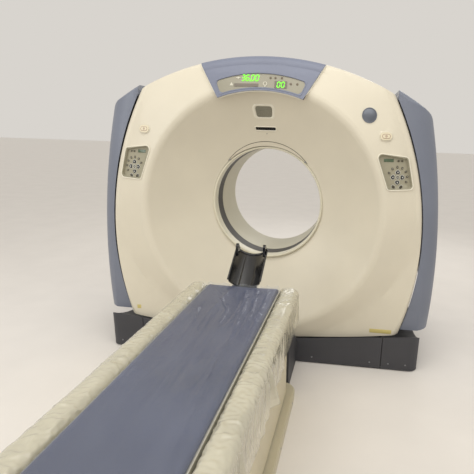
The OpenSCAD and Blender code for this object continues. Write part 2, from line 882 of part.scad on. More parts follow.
// Posts that carry the covers: to the top, the rear, the front and the side
module cover_posts() {
    intersection() {
        translate([380, frame_y, iso_z + 600]) cube([50, frame_t, 400]);
        along_y(-far, far) front_outline(wall + fit);
    }
    intersection() {
        for (a = [-28, 28]) bar_y(760 * cos(a), iso_z + 760 * sin(a), 22, frame_y + frame_t - 1, far);
        rear_form(wall + fit);
    }
    intersection() {
        for (z = [iso_z - 90, iso_z + 90]) bar_y(arm_in_x + 45, z, 20, -far, -arm_front + 1);
        front_form(wall + fit);
    }
    intersection() {
        translate([500, frame_y, iso_z + 440]) cube([far, frame_t / 2, 50]);
        side_form(wall + fit);
    }
}

module bearing_ring() {
    color([0.70, 0.71, 0.73]) ring_y(hub_r + pin_gap, bearing_r, frame_y - bearing_t, frame_y);
}

module rotor_drum() {
    back = rotor_plate_y + rotor_plate_t;
    color([0.75, 0.76, 0.78]) {
        ring_y(rotor_in_r, rotor_r, rotor_plate_y, back);
        ring_y(track_r - 30, track_r, back, belt_y + belt_w + 2);
        ring_y(rotor_in_r, hub_r, back, frame_y + frame_t + 12);
    }
}

module slip_ring() {
    y0 = frame_y + frame_t + 12;
    color([0.72, 0.55, 0.28]) difference() {
        ring_y(rotor_in_r, rotor_in_r + 170, y0, y0 + 22);
        for (i = [0:4]) ring_y(rotor_in_r + 50 + 24 * i, rotor_in_r + 58 + 24 * i, y0 + 16, y0 + 30);
    }
}

focus_z = iso_z + 541;

module xray_tube() {
    color([0.80, 0.80, 0.82]) {
        bar_y(0, focus_z + 60, 88, -rotor_front_d, rotor_plate_y);
        bar_y(0, focus_z + 60, 60, -rotor_front_d - 14, -rotor_front_d + 1);
    }
}

module collimator() {
    color(steel) difference() {
        translate([-75, -145, iso_z + rotor_in_r + 8]) cube([150, 145 + rotor_plate_y, 92]);
        translate([-55, -window_front_d + 50, iso_z]) cube([110, 8, far]);
    }
}

// Two boxes of unequal width, which balance the cooling unit
module hv_generator() {
    color([0.55, 0.58, 0.52]) for (side = [[485, 150], [-675, 195]])
        translate([side[0], -rotor_front, iso_z + 68])
            cube([side[1], rotor_front + rotor_plate_y, generator_h]);
}

module cooling_unit() {
    fins = 9;
    color([0.30, 0.32, 0.35]) difference() {
        translate([475, -rotor_front, iso_z - 200])
            cube([cooler_w, rotor_front + rotor_plate_y, cooler_h]);
        for (i = [0:fins - 1]) translate([485 + 21 * i, -rotor_front - 1, iso_z - 190])
            cube([10, 60, 170]);
    }
}

module detector_arc() {
    color([0.36, 0.40, 0.46]) along_y(-rotor_front, rotor_plate_y) intersection() {
        translate([0, focus_z]) difference() {
            circle(r = detector_r, $fn = fine);
            circle(r = detector_in_r, $fn = fine);
        }
        translate([0, focus_z]) polygon([[0, 0], [-1500 * sin(27), -1500 * cos(27)],
            [1500 * sin(27), -1500 * cos(27)]]);
    }
}

module anchor_holes() {
    mirrored() for (y = [-330, 490])
        translate([rail_x + rail_w / 2, y, -1]) cylinder(r = anchor_r, h = rail_h + 2, $fn = round_fn);
}

module base_frame() {
    color(dark_grey) difference() {
        union() {
            mirrored() {
                translate([rail_x, -380, 0]) cube([rail_w, 920, rail_h]);
                for (y = [-250, 330])
                    translate([rail_x + rail_w - 1, y, 20])
                        cube([base_half_w - base_wall - rail_x - rail_w + 1 - fit, 60, 40]);
            }
            translate([-rail_x - 1, -base_depth_back, 0]) cube([2 * rail_x + 2, 110, 60]);
            translate([-rail_x - 1, 410, 0]) cube([2 * rail_x + 2, 110, 60]);
            translate([-rail_x - 1, -70, 0]) cube([2 * rail_x + 2, 140, 30]);
        }
        anchor_holes();
    }
}

module stanchion() {
    color(steel) along_x(stanchion_x, stanchion_x + stanchion_t) difference() {
        union() {
            translate([0, iso_z]) circle(r = stanchion_r, $fn = round_fn);
            polygon([[-105, iso_z - 30], [34, 290], [84, 190], [84, rail_h + 1], [166, rail_h + 1],
                [166, 200], [150, 235], [98, 310], [98, 400], [105, iso_z - 30]]);
            translate([-20, rail_h]) square([240, 18]);
        }
        translate([0, iso_z]) circle(r = pin_r + pin_gap, $fn = round_fn);
        for (k = [[16, 810, 42], [30, 670, 34], [42, 540, 27]])
            translate([k[0], k[1]]) circle(r = k[2], $fn = round_fn);
    }
}

module stanchion_right() { stanchion(); }
module stanchion_left() { mirror([1, 0, 0]) stanchion(); }

module tilt_gearbox() {
    x1 = -(stanchion_x + stanchion_t);
    color([0.33, 0.36, 0.40]) {
        translate([x1 - 62, 0, iso_z]) rotate([0, 90, 0]) cylinder(r = 98, h = 62, $fn = round_fn);
        translate([x1 - 66, -45, iso_z - 210]) cube([56, 90, 150]);
        translate([x1 - 38, 150, iso_z - 150]) rotate([90, 0, 0]) cylinder(r = 36, h = 300, $fn = round_fn);
    }
}

// What the tilting covers pass through, drawn in by d: it narrows towards the ends
module sweep(d = 0) {
    mirrored() translate([0, 0, iso_z]) rotate([0, 90, 0])
        cylinder(r1 = sweep_r - d, r2 = sweep_r - d - sweep_fall * far, h = far, $fn = fine);
}

module base_front_cover() {
    depth = base_d - base_depth_back - fit;
    color(dark_grey) difference() {
        translate([-base_seam_x, -base_d, toe_gap]) cube([2 * base_seam_x, depth, base_cover_h]);
        sweep();
        difference() {
            translate([-base_seam_x + base_wall, -base_d + base_wall, 0])
                cube([2 * (base_seam_x - base_wall), depth, base_cover_h]);
            sweep(-base_wall);
        }
    }
}

// Plan of the end cover, drawn in by d
module end_cover_plan(d) {
    x0 = base_seam_x + 3 + d;
    x1 = base_half_w - d;
    difference() {
        translate([x0, -base_d + d]) square([x1 - x0, base_d + base_back - 2 * d]);
        translate([x1 - end_round + d, -base_d + d]) square([end_round, end_round - d]);
    }
    translate([base_half_w - end_round, -base_d + end_round]) circle(r = end_round - d, $fn = round_fn);
    translate([x0, -base_d + d]) square([base_half_w - end_round - x0, end_round]);
}

module base_end_cover() {
    color(dark_grey) difference() {
        translate([0, 0, toe_gap]) linear_extrude(height = base_cover_h) end_cover_plan(0);
        sweep();
        difference() {
            linear_extrude(height = base_cover_h) end_cover_plan(base_wall);
            sweep(-base_wall);
        }
        // Opening for the stanchion, and the inner side left open behind the front wall
        translate([stanchion_x - 12, -30, 0]) cube([stanchion_t + 24, 260, 300]);
        translate([0, -base_depth_back - 30, -1]) cube([rail_x + rail_w + 3, far, 108]);
    }
}

module base_end_cover_right() { base_end_cover(); }
module base_end_cover_left() { mirror([1, 0, 0]) base_end_cover(); }

module link_cover() {
    y0 = -table_d + 40 + fit;
    y1 = -base_d - fit;
    color([0.20, 0.20, 0.21]) difference() {
        translate([-link_half_w, y0, toe_gap]) cube([2 * link_half_w, y1 - y0, link_h]);
        sweep();
        difference() {
            translate([-link_half_w + base_wall, y0 + base_wall, 0])
                cube([2 * (link_half_w - base_wall), y1 - y0 - 2 * base_wall, link_h]);
            sweep(-base_wall);
        }
    }
}

module table_plinth() {
    y1 = -table_d + 40;
    color([0.80, 0.77, 0.67]) {
        linear_extrude(height = plinth_h - 6) plinth_plan(y1, 0);
        linear_extrude(height = plinth_h) plinth_plan(y1, 5);
    }
}

module plinth_plan(y1, d) {
    rounded_outline([[-plinth_w / 2 + d, y1 - plinth_l + d], [plinth_w / 2 - d, y1 - plinth_l + d],
        [plinth_w / 2 - d, y1 - d], [-plinth_w / 2 + d, y1 - d]], plinth_round - d);
}

// Plan of the skirts, drawn in by d
module skirt_plan(d) {
    y1 = -table_d - 65;
    rounded_outline([[-skirt_half_w + d, y1 - skirt_l + d], [skirt_half_w - d, y1 - skirt_l + d],
        [skirt_half_w - d, y1 - d], [-skirt_half_w + d, y1 - d]], skirt_round - d);
}

module lower_skirt() {
    out = skirt_wall + 4;
    color([0.22, 0.22, 0.22]) translate([0, 0, plinth_h])
        linear_extrude(height = frame_bottom_z - 10 - plinth_h)
        difference() {
            skirt_plan(out);
            skirt_plan(out + skirt_wall);
        }
}

module upper_skirt() {
    rear = -table_d - 65 - skirt_l;
    color(cream) difference() {
        translate([0, 0, plinth_h + skirt_gap]) linear_extrude(height = frame_bottom_z - plinth_h - skirt_gap)
            difference() {
                skirt_plan(0);
                skirt_plan(skirt_wall);
            }
        along_x(-far, far) polygon([[rear - 10, 0], [rear + 1000, 0], [rear + 980, plinth_h + skirt_gap],
            [rear + 640, 190], [rear - 10, 210]]);
    }
}

column_y = -table_d - 65 - skirt_l / 2;

module lift_column_outer() {
    color(steel) difference() {
        translate([0, column_y, plinth_h]) cylinder(r = column_r + 12, h = 420, $fn = round_fn);
        translate([0, column_y, plinth_h + 12]) cylinder(r = column_r + pin_gap, h = 500, $fn = round_fn);
    }
}

module lift_column_inner() {
    color([0.80, 0.81, 0.83]) difference() {
        translate([0, column_y, plinth_h + 60])
            cylinder(r = column_r, h = frame_bottom_z - plinth_h - 60, $fn = round_fn);
        translate([0, column_y, plinth_h + 59]) cylinder(r = column_r - 12, h = 300, $fn = round_fn);
    }
}

rail_z = frame_bottom_z + frame_plate;
guide_z = rail_z + guide_h;
rear_y = -table_d - 22 - frame_l;

module table_frame() {
    color([0.70, 0.69, 0.64]) {
        translate([-table_w / 2 + 18, rear_y, frame_bottom_z]) cube([table_w - 36, frame_l, frame_plate]);
        for (side = [-1, 1])
            translate([side * guide_x - 10, rear_y, rail_z]) cube([20, frame_l, guide_h]);
    }
}

module side_rail_outline(g = 0) {
    x0 = cradle_w / 2 + rail_gap - g;
    x1 = table_w / 2 + g;
    top = rail_z + side_rail_h + g;
    rounded_outline([[x0, top - 90], [x1, top - 90], [x1, top], [x0, top]], 28 + g);
    translate([x0, rail_z]) square([x1 - x0, side_rail_h - 45]);
}

module side_rail() {
    color([0.80, 0.77, 0.66]) along_y(rear_y, -table_d - 5) side_rail_outline();
}

module side_rail_right() { side_rail(); }
module side_rail_left() { mirror([1, 0, 0]) side_rail(); }

module rail_film() {
    top = rail_z + side_rail_h;
    mid = cradle_w / 2 + rail_gap + 30;
    along_y(rear_y + 4, -table_d - 6) difference() {
        union() {
            side_rail_outline(0.3 + film_t);
            translate([table_w / 2 + 0.3, top - film_drop]) square([film_t, film_drop - 40]);
        }
        side_rail_outline(0.3);
        translate([mid - 80, rail_z - 60]) square([table_w / 2 + 0.3 - mid + 80, 190 - 60 + 5]);
    }
}

module rail_films() {
    color([0.86, 0.84, 0.76, 0.8]) mirrored() rail_film();
}

module carriage() {
    y1 = -table_d - 30;
    color(steel) difference() {
        translate([-carriage_w / 2, y1 - carriage_l, guide_z + 0.3])
            cube([carriage_w, carriage_l, carriage_t]);
        for (i = [0:5]) translate([0, y1 - 150 - 215 * i, guide_z])
            linear_extrude(height = carriage_t + 2)
                rounded_outline([[-110, -70], [110, -70], [110, 70], [-110, 70]], 25);
    }
}

cradle_z = guide_z + 0.3 + carriage_t + 0.3;
hollow_r = pow(cradle_w / 2, 2) / (2 * cradle_hollow) + cradle_hollow / 2;
hollow_z = cradle_z + cradle_t - cradle_hollow + hollow_r;

module cradle() {
    color([0.80, 0.78, 0.72]) along_y(-table_d - cradle_l, -table_d) difference() {
        rounded_outline([[-cradle_w / 2, cradle_z], [cradle_w / 2, cradle_z],
            [cradle_w / 2, cradle_z + cradle_t + 20], [-cradle_w / 2, cradle_z + cradle_t + 20]], 14);
        translate([-far, cradle_z + cradle_t]) square([2 * far, far]);
        translate([0, hollow_z]) circle(r = hollow_r, $fn = fine * 2);
    }
}

module cradle_pad() {
    color([0.24, 0.28, 0.40]) along_y(-table_d - cradle_l + 30, -table_d - 18) intersection() {
        translate([-cradle_w / 2 + 7, cradle_z]) square([cradle_w - 14, pad_top_z - cradle_z]);
        translate([0, hollow_z]) circle(r = hollow_r - 0.3, $fn = fine * 2);
    }
}

module pad_film() {
    half = cradle_w / 2 + 0.3;
    color([0.80, 0.82, 0.84, 0.4]) along_y(-table_d - cradle_l + 30, -table_d - 10) difference() {
        translate([-half - film_t, cradle_z + 10])
            square([2 * (half + film_t), pad_top_z + 0.3 + film_t - cradle_z - 10]);
        translate([-half, cradle_z]) square([2 * half, pad_top_z + 0.3 - cradle_z]);
    }
}

module head_holder() {
    trough_r = 100;
    color(black) {
        translate([0, -table_d + holder_wall + 6, cradle_z + cradle_t - 4]) rotate([holder_tilt, 0, 0]) {
            along_y(0, holder_l) difference() {
                intersection() {
                    translate([0, trough_r]) circle(r = trough_r + holder_wall, $fn = fine);
                    translate([-holder_half_w, -holder_wall]) square([2 * holder_half_w, 58]);
                }
                translate([0, trough_r]) circle(r = trough_r, $fn = fine);
            }
            mirrored() along_x(holder_half_w - 16, holder_half_w - 2)
                rounded_outline([[holder_l - 66, 36], [holder_l - 2, 36],
                    [holder_l - 8, 96], [holder_l - 32, 96]], 10);
        }
        translate([-70, -table_d + fit, cradle_z + 6]) cube([140, 16, cradle_t - 2]);
    }
}

base_frame();
stanchion_left();
stanchion_right();
tilt_gearbox();
base_front_cover();
base_end_cover_left();
base_end_cover_right();
link_cover();
table_plinth();
lower_skirt();
lift_column_outer();
tilt_frame();
bearing_ring();
front_cover();
rear_cover();
side_cover_left();
side_cover_right();
top_cover();
bore_ring();
scan_window();
rear_bore_liner();
bore_visor();
display_housing();
display_window();
alignment_window();
intercom_grille();
keypad_left();
keypad_right();
drive_motor();
drive_belt();
drive_pulley();
rotor_drum();
xray_tube();
collimator();
hv_generator();
detector_arc();
cooling_unit();
slip_ring();
left_up_key();
left_down_key();
left_in_key();
left_out_key();
right_up_key();
right_down_key();
right_in_key();
right_out_key();
left_stop_button();
right_stop_button();
upper_skirt();
lift_column_inner();
table_frame();
side_rail_left();
side_rail_right();
rail_films();
carriage();
cradle();
cradle_pad();
pad_film();
head_holder();
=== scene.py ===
# %% [markdown]
# # A CT scanner: tilting gantry and patient table
# The frame file brings the machine's hard pieces at their real size, one mesh for each node. They
# come as loose triangles that look flat, so this lesson copies the ones that show, joins and smooths
# them, softens their edges and gives each its finish. Then it adds what is too fine for the frame:
# digits, symbols, beads, screws and the wrinkled films on the table. All lengths are in metres.
# +X is to the right seen from the table, +Y runs from the table into the bore, +Z is up, and the
# origin lies on the floor under the scan centre.

# %% Load the frame
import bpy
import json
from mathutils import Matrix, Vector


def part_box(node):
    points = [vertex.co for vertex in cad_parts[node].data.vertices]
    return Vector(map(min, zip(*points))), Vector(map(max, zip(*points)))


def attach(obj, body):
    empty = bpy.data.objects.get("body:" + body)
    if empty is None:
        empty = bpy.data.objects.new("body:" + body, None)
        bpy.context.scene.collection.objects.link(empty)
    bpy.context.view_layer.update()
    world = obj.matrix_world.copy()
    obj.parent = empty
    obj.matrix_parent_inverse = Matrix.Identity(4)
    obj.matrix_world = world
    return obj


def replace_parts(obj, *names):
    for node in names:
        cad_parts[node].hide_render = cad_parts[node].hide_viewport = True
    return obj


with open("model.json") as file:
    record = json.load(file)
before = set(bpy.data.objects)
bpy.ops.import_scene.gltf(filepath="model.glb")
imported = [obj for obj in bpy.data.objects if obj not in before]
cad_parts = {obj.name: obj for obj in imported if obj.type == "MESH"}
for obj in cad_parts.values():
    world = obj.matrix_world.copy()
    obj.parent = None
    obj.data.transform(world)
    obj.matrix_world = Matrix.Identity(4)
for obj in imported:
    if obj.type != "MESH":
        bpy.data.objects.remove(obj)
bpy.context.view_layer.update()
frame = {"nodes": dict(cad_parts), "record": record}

import json
import math

import bmesh
import bpy
import numpy as np
from mathutils import Euler, Matrix, Vector, noise

record = frame["record"]
slot_of = {part["node"]: part["material_slot"] for part in record["subparts"]}
body_of = {node: body for body, nodes in record["behaviour"]["bodies"].items() for node in nodes}

# %% [markdown]
# ## Camera
# The picture is a wide crop, so its middle is not the lens's axis. The camera stands at the table's
# foot end at eye height, looks down a little and leans slightly. Its focal length and its shift come
# from the picture's width in pixels, which keeps the perspective of the real view.

# %% Camera
IMAGE_PX = 474
FOCAL_PX = 451.2
AXIS_PX = (295.4, 268.3)
SENSOR_MM = 36
eye = Vector((0.575, -3.148, 1.479))
yaw, pitch, roll = math.radians(7.23), math.radians(16.9), math.radians(1.77)

forward = Vector((-math.sin(yaw) * math.cos(pitch), math.cos(yaw) * math.cos(pitch), -math.sin(pitch)))
level = Vector((math.cos(yaw), math.sin(yaw), 0))
above = level.cross(forward)
camera_x = level * math.cos(roll) + above * math.sin(roll)
camera_y = above * math.cos(roll) - level * math.sin(roll)
camera = bpy.data.objects.new("camera", bpy.data.cameras.new("camera"))
camera.data.sensor_width = SENSOR_MM
camera.data.lens = FOCAL_PX * SENSOR_MM / IMAGE_PX
camera.data.shift_x = (IMAGE_PX / 2 - AXIS_PX[0]) / IMAGE_PX
camera.data.shift_y = (AXIS_PX[1] - IMAGE_PX / 2) / IMAGE_PX
turned = Matrix((camera_x, camera_y, -forward)).transposed().to_4x4()
camera.matrix_world = Matrix.Translation(eye) @ turned
bpy.context.scene.collection.objects.link(camera)
bpy.context.scene.camera = camera
print("lens:", round(camera.data.lens, 2), "mm, shift:", round(camera.data.shift_x, 3),
      round(camera.data.shift_y, 3))

# %% [markdown]
# ## Colours and finishes
# A moulded cover is never one flat colour: it has faint blotches, a fine grain that breaks up the
# highlight, and a roughness that changes a little with cleaning and touch. One function builds this
# from noise in object coordinates, so the pattern stays on the piece when the gantry tilts.

# %% Finish helpers
def rgb(red, green, blue):
    """A screen colour, 0 to 255 a channel, as the linear colour that the shader needs."""
    shares = [c / 255 for c in (red, green, blue)]
    return (*[c / 12.92 if c < 0.0404 else ((c + 0.055) / 1.055) ** 2.4 for c in shares], 1.0)


def shade(colour, factor):
    return (*[min(1.0, c * factor) for c in colour[:3]], 1.0)


class Finish:
    """A material with a Principled shader and short calls for the nodes that feed it."""

    def __init__(self, name):
        self.material = bpy.data.materials.new(name)
        self.material.use_nodes = True
        self.tree = self.material.node_tree
        self.tree.nodes.clear()
        self.shader = self.node("ShaderNodeBsdfPrincipled")
        self.out = self.node("ShaderNodeOutputMaterial")
        self.join(self.shader.outputs[0], self.out.inputs["Surface"])
        self.place = self.node("ShaderNodeTexCoord").outputs["Object"]

    def node(self, kind):
        return self.tree.nodes.new(kind)

    def join(self, output, socket):
        self.tree.links.new(output, socket)

    def noise(self, scale, detail=2.0, stretch=None, rough=0.5):
        made = self.node("ShaderNodeTexNoise")
        made.inputs["Scale"].default_value = scale
        made.inputs["Detail"].default_value = detail
        made.inputs["Roughness"].default_value = rough
        place = self.place
        if stretch:
            mapping = self.node("ShaderNodeMapping")
            mapping.inputs["Scale"].default_value = stretch
            self.join(place, mapping.inputs["Vector"])
            place = mapping.outputs[0]
        self.join(place, made.inputs["Vector"])
        return made.outputs["Fac"]

    def ramp(self, factor, colour, low, high):
        """The colour from a darker to a lighter shade, each given as (place, share)."""
        made = self.node("ShaderNodeValToRGB")
        for element, (place, share) in zip(made.color_ramp.elements, (low, high)):
            element.position = place
            element.color = shade(colour, share)
        self.join(factor, made.inputs[0])
        return made.outputs["Color"]

    def spread(self, factor, low, high):
        made = self.node("ShaderNodeMapRange")
        made.inputs["To Min"].default_value = low
        made.inputs["To Max"].default_value = high
        self.join(factor, made.inputs["Value"])
        return made.outputs[0]

    def bump(self, height, distance, strength=1.0, under=None):
        made = self.node("ShaderNodeBump")
        made.inputs["Distance"].default_value = distance
        made.inputs["Strength"].default_value = strength
        self.join(height, made.inputs["Height"])
        if under:
            self.join(under, made.inputs["Normal"])
        return made.outputs[0]

    def set(self, **values):
        for key, value in values.items():
            self.shader.inputs[key.replace("_", " ")].default_value = value
        return self

    def feed(self, **outputs):
        for key, output in outputs.items():
            self.join(output, self.shader.inputs[key.replace("_", " ")])
        return self


def moulded(name, colour, rough=0.42, blotch=0.05, grain=0.00012, grain_scale=700, coat=0.0, metal=0.0):
    finish = Finish(name)
    patches = finish.noise(3.1, 4.0)
    finish.feed(Base_Color=finish.ramp(patches, colour, (0.3, 1 - blotch), (0.72, 1 + blotch)),
                Roughness=finish.spread(finish.noise(11, 3.0), rough - 0.07, rough + 0.07),
                Normal=finish.bump(finish.noise(grain_scale, 1.0), grain))
    return finish.set(Metallic=metal, Coat_Weight=coat, Coat_Roughness=0.18).material


def brushed(name, colour, rough=0.35, stretch=(1, 60, 60), line_scale=14):
    finish = Finish(name)
    lines = finish.noise(line_scale, 4.0, stretch)
    finish.feed(Base_Color=finish.ramp(lines, colour, (0.3, 0.8), (0.7, 1.1)),
                Roughness=finish.spread(lines, rough - 0.08, rough + 0.12),
                Normal=finish.bump(lines, 0.0001))
    return finish.set(Metallic=1.0).material


def glowing(name, colour, strength):
    finish = Finish(name)
    finish.feed(Emission_Color=finish.ramp(finish.noise(400), colour, (0.2, 0.85), (0.8, 1)))
    return finish.set(Emission_Strength=strength, Base_Color=shade(colour, 0.3), Roughness=0.4).material


print("finish helpers ready")

# %% [markdown]
# ## One finish for each material slot
# The record names a slot for every node: covers are satin moulded plastic, the base is a coarser
# dark plastic, and what sits inside is painted steel, cast and turned aluminium, brass and rubber.
# A dictionary from slot to material keeps the choice in one place.

# %% Slot finishes
finishes = {
    "cream_cover": moulded("cream_plastic", rgb(216, 208, 188), 0.36, 0.035),
    "blue_cover": moulded("blue_grey_plastic", rgb(116, 121, 134), 0.42, 0.05),
    "display_cover": moulded("display_housing_plastic", rgb(118, 123, 140), 0.38, 0.05),
    "display_panel": moulded("display_window_plastic", rgb(146, 141, 122), 0.3, 0.08, coat=0.4),
    "mesh_panel": moulded("grey_mesh", rgb(128, 124, 108), 0.55, 0.12, 0.0006, 900),
    "intercom": moulded("intercom_black", rgb(18, 17, 16), 0.5, 0.1),
    "bore_trim": moulded("bore_ring_plastic", rgb(216, 210, 188), 0.3, 0.03),
    "bore_window": moulded("scan_window_film", rgb(46, 40, 28), 0.5, 0.1),
    "bore_liner": moulded("bore_liner_plastic", rgb(200, 194, 170), 0.34, 0.04),
    "keypad": moulded("keypad_membrane", rgb(158, 152, 130), 0.5, 0.05, 0.0002, 500),
    "key": moulded("key_rubber", rgb(34, 34, 38), 0.55, 0.12),
    "stop_button": moulded("button_plastic", rgb(222, 212, 184), 0.32, 0.03),
    "base_cover": moulded("base_plastic", rgb(62, 62, 66), 0.55, 0.1, 0.0004, 420),
    "base_steel": moulded("base_paint", rgb(70, 72, 76), 0.5, 0.1, 0.0003, 300),
    "stanchion_steel": moulded("stanchion_paint", rgb(176, 178, 180), 0.45, 0.06, 0.0003, 300),
    "frame_steel": moulded("cast_aluminium", rgb(186, 188, 190), 0.5, 0.08, 0.0006, 180, metal=0.8),
    "gearbox": moulded("gearbox_paint", rgb(92, 98, 108), 0.42, 0.1, 0.0005, 200),
    "bearing": brushed("ground_steel", rgb(180, 182, 184), 0.22),
    "motor": moulded("motor_paint", rgb(60, 62, 66), 0.4, 0.1, 0.0004, 260),
    "belt": moulded("belt_rubber", rgb(30, 30, 30), 0.7, 0.15, 0.0003, 500),
    "pulley": brushed("turned_aluminium", rgb(190, 192, 194), 0.3),
    "drum": brushed("machined_aluminium", rgb(196, 198, 200), 0.34),
    "tube_housing": moulded("tube_paint", rgb(200, 200, 204), 0.35, 0.05),
    "collimator": brushed("anodised_block", rgb(150, 154, 160), 0.4),
    "generator": moulded("generator_paint", rgb(140, 146, 132), 0.45, 0.07),
    "detector": moulded("detector_paint", rgb(98, 108, 120), 0.45, 0.07),
    "cooler": brushed("cooler_fins", rgb(110, 114, 120), 0.4),
    "slip_ring": brushed("brass_tracks", rgb(180, 140, 80), 0.25),
    "plinth": moulded("plinth_plastic", rgb(196, 187, 160), 0.42, 0.06),
    "skirt_inner": moulded("inner_skirt_plastic", rgb(52, 52, 52), 0.6, 0.1),
    "skirt_outer": moulded("skirt_plastic", rgb(204, 194, 166), 0.42, 0.05),
    "column": brushed("column_steel", rgb(170, 172, 176), 0.25, (60, 60, 1)),
    "table_metal": moulded("table_paint", rgb(150, 147, 136), 0.5, 0.08, 0.0003, 300),
    "rail": moulded("rail_plastic", rgb(206, 199, 168), 0.4, 0.05),
    "carriage": moulded("carriage_paint", rgb(150, 152, 154), 0.45, 0.07),
    "cradle": moulded("cradle_shell", rgb(200, 196, 180), 0.35, 0.05, coat=0.3),
    "head_holder": moulded("holder_black", rgb(13, 13, 15), 0.22, 0.15, 0.0002, 500, coat=0.6),
}
for node, thing in frame["nodes"].items():
    thing.data.materials.clear()
    thing.data.materials.append(finishes.get(slot_of[node], finishes["cradle"]))
print("finishes:", len(finishes))

# %% [markdown]
# ## Smooth copies of the hard pieces
# The frame's triangles share no points, so Blender cannot see which edges are soft. A copy is merged
# first. Where its edges are sharp, flat neighbours are dissolved and a bevel rounds the edges a little,
# as a mould does. Smoothing by angle keeps the rest crisp. The copy replaces its node and rides with it.

# %% Smooth copies
SMOOTH_ANGLE = math.radians(28)


def as_object(name, mesh, finish=None):
    thing = bpy.data.objects.new(name, mesh)
    bpy.context.scene.collection.objects.link(thing)
    if finish:
        mesh.materials.clear()
        mesh.materials.append(finish)
    return thing


def baked(thing):
    """The object with its modifiers applied to one plain mesh."""
    bpy.context.view_layer.update()
    graph = bpy.context.evaluated_depsgraph_get()
    mesh = bpy.data.meshes.new_from_object(thing.evaluated_get(graph))
    thing.modifiers.clear()
    thing.data = mesh
    return thing


def carried(thing, body):
    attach(thing, body)
    return thing


def formed(name, form, finish=None):
    """An object from a form, which is used up."""
    mesh = bpy.data.meshes.new(name)
    form.to_mesh(mesh)
    form.free()
    return as_object(name, mesh, finish)


def bevelled(thing, width, angle_limit=math.radians(30)):
    cut = thing.modifiers.new("edge", "BEVEL")
    cut.width = width
    cut.segments = 2
    cut.limit_method = "ANGLE"
    cut.angle_limit = angle_limit
    return baked(thing)


def smoothed(thing, angle=SMOOTH_ANGLE):
    thing.data.shade_smooth()
    thing.data.set_sharp_from_angle(angle=angle)
    return thing


def smooth_copy(node, bevel):
    mesh = frame["nodes"][node].data.copy()
    form = bmesh.new()
    form.from_mesh(mesh)
    bmesh.ops.remove_doubles(form, verts=form.verts, dist=1e-5)
    bmesh.ops.dissolve_degenerate(form, edges=form.edges, dist=1e-5)
    if bevel:
        bmesh.ops.dissolve_limit(form, angle_limit=math.radians(1), verts=form.verts, edges=form.edges)
    form.to_mesh(mesh)
    form.free()
    thing = as_object(node + ".shown", mesh, finishes[slot_of[node]])
    if bevel:
        bevelled(thing, bevel, math.radians(40))
    smoothed(thing)
    even = thing.modifiers.new("even", "WEIGHTED_NORMAL")
    even.mode = "FACE_AREA"
    even.weight = 100
    even.keep_sharp = True
    baked(thing)
    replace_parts(thing, node)
    return carried(thing, body_of[node])


SOFT_EDGES = (
    (0.0, "front_cover rear_cover side_cover_left side_cover_right top_cover bore_visor display_housing "
          "display_window alignment_window"),
    (0.003, "base_front_cover base_end_cover_left base_end_cover_right"),
    (0.004, "link_cover"),
    (0.006, "table_plinth"),
    (0.003, "upper_skirt"),
    (0.002, "lower_skirt side_rail_left side_rail_right"),
    (0.003, "head_holder"),
    (0.002, "cradle left_stop_button right_stop_button carriage table_frame"),
    (0.003, "stanchion_left stanchion_right tilt_gearbox"),
    (0.0, "tilt_frame keypad_left keypad_right"),
)
shown = {node: smooth_copy(node, bevel) for bevel, nodes in SOFT_EDGES for node in nodes.split()}
print("smooth copies:", len(shown), "triangles:", sum(len(t.data.loop_triangles) for t in shown.values()))

# %% [markdown]
# ## A frame on the sloping face
# Keypads, buttons and the display sit square to a face that falls back from the crest around the
# funnel. A helper gives the matrix for any spot on it: local X runs sideways, Z up the face and Y
# straight in. A second helper collects prisms of flat outlines in that frame, because buttons,
# digits and symbols are all thin prisms, and one mesh for a whole row keeps the scene small.

# %% Face frame and prisms
RIDGE_R, RIDGE_Z, RIDGE_D, FACE_FALL = 0.745, 0.978, 0.450, 0.30
SIDES = {"right": 1, "left": -1}


def face_y(x, z):
    return -RIDGE_D + FACE_FALL * (math.hypot(x, z - RIDGE_Z) - RIDGE_R)


def on_face(x, z, out=0.0):
    away = math.hypot(x, z - RIDGE_Z)
    steep = math.sqrt(1 + FACE_FALL ** 2)
    turn = Euler((-math.asin(FACE_FALL * (z - RIDGE_Z) / away / steep), 0, math.atan(FACE_FALL * x / away)))
    spot = Matrix.Translation((x, face_y(x, z), z)) @ turn.to_matrix().to_4x4()
    return spot @ Matrix.Translation((0, -out, 0))


def mirror_if(side):
    return Matrix.Scale(SIDES[side], 4, (1, 0, 0))


def oval(x, z, half_x, half_z, count=36, turn=0.0):
    points = []
    c, s = math.cos(turn), math.sin(turn)
    for k in range(count):
        a = 2 * math.pi * k / count
        u, w = half_x * math.cos(a), half_z * math.sin(a)
        points.append((x + u * c - w * s, z + u * s + w * c))
    return points


def disc(radius, count=36):
    return oval(0, 0, radius, radius, count)


def oblong(half_x, half_z):
    return [(-half_x, -half_z), (half_x, -half_z), (half_x, half_z), (-half_x, half_z)]


def rounded(points, radius, steps=5):
    """A convex outline with its corners rounded."""
    made = []
    for i, corner in enumerate(points):
        corner = Vector(corner)
        before = (Vector(points[i - 1]) - corner).normalized()
        after = (Vector(points[(i + 1) % len(points)]) - corner).normalized()
        half = before.angle(after) / 2
        centre = corner + (before + after).normalized() * radius / math.sin(half)
        start = corner + before * radius / math.tan(half) - centre
        end = corner + after * radius / math.tan(half) - centre
        for k in range(steps + 1):
            made.append(tuple(centre + start.lerp(end, k / steps).normalized() * radius))
    return made


def walls(form, loops, closed=False):
    """Rings of points with faces from each to the next."""
    rings = [[form.verts.new(p) for p in loop] for loop in loops]
    for low, high in zip(rings, rings[1:] + (rings[:1] if closed else [])):
        for k in range(len(low)):
            form.faces.new((low[k - 1], low[k], high[k], high[k - 1]))
    return rings


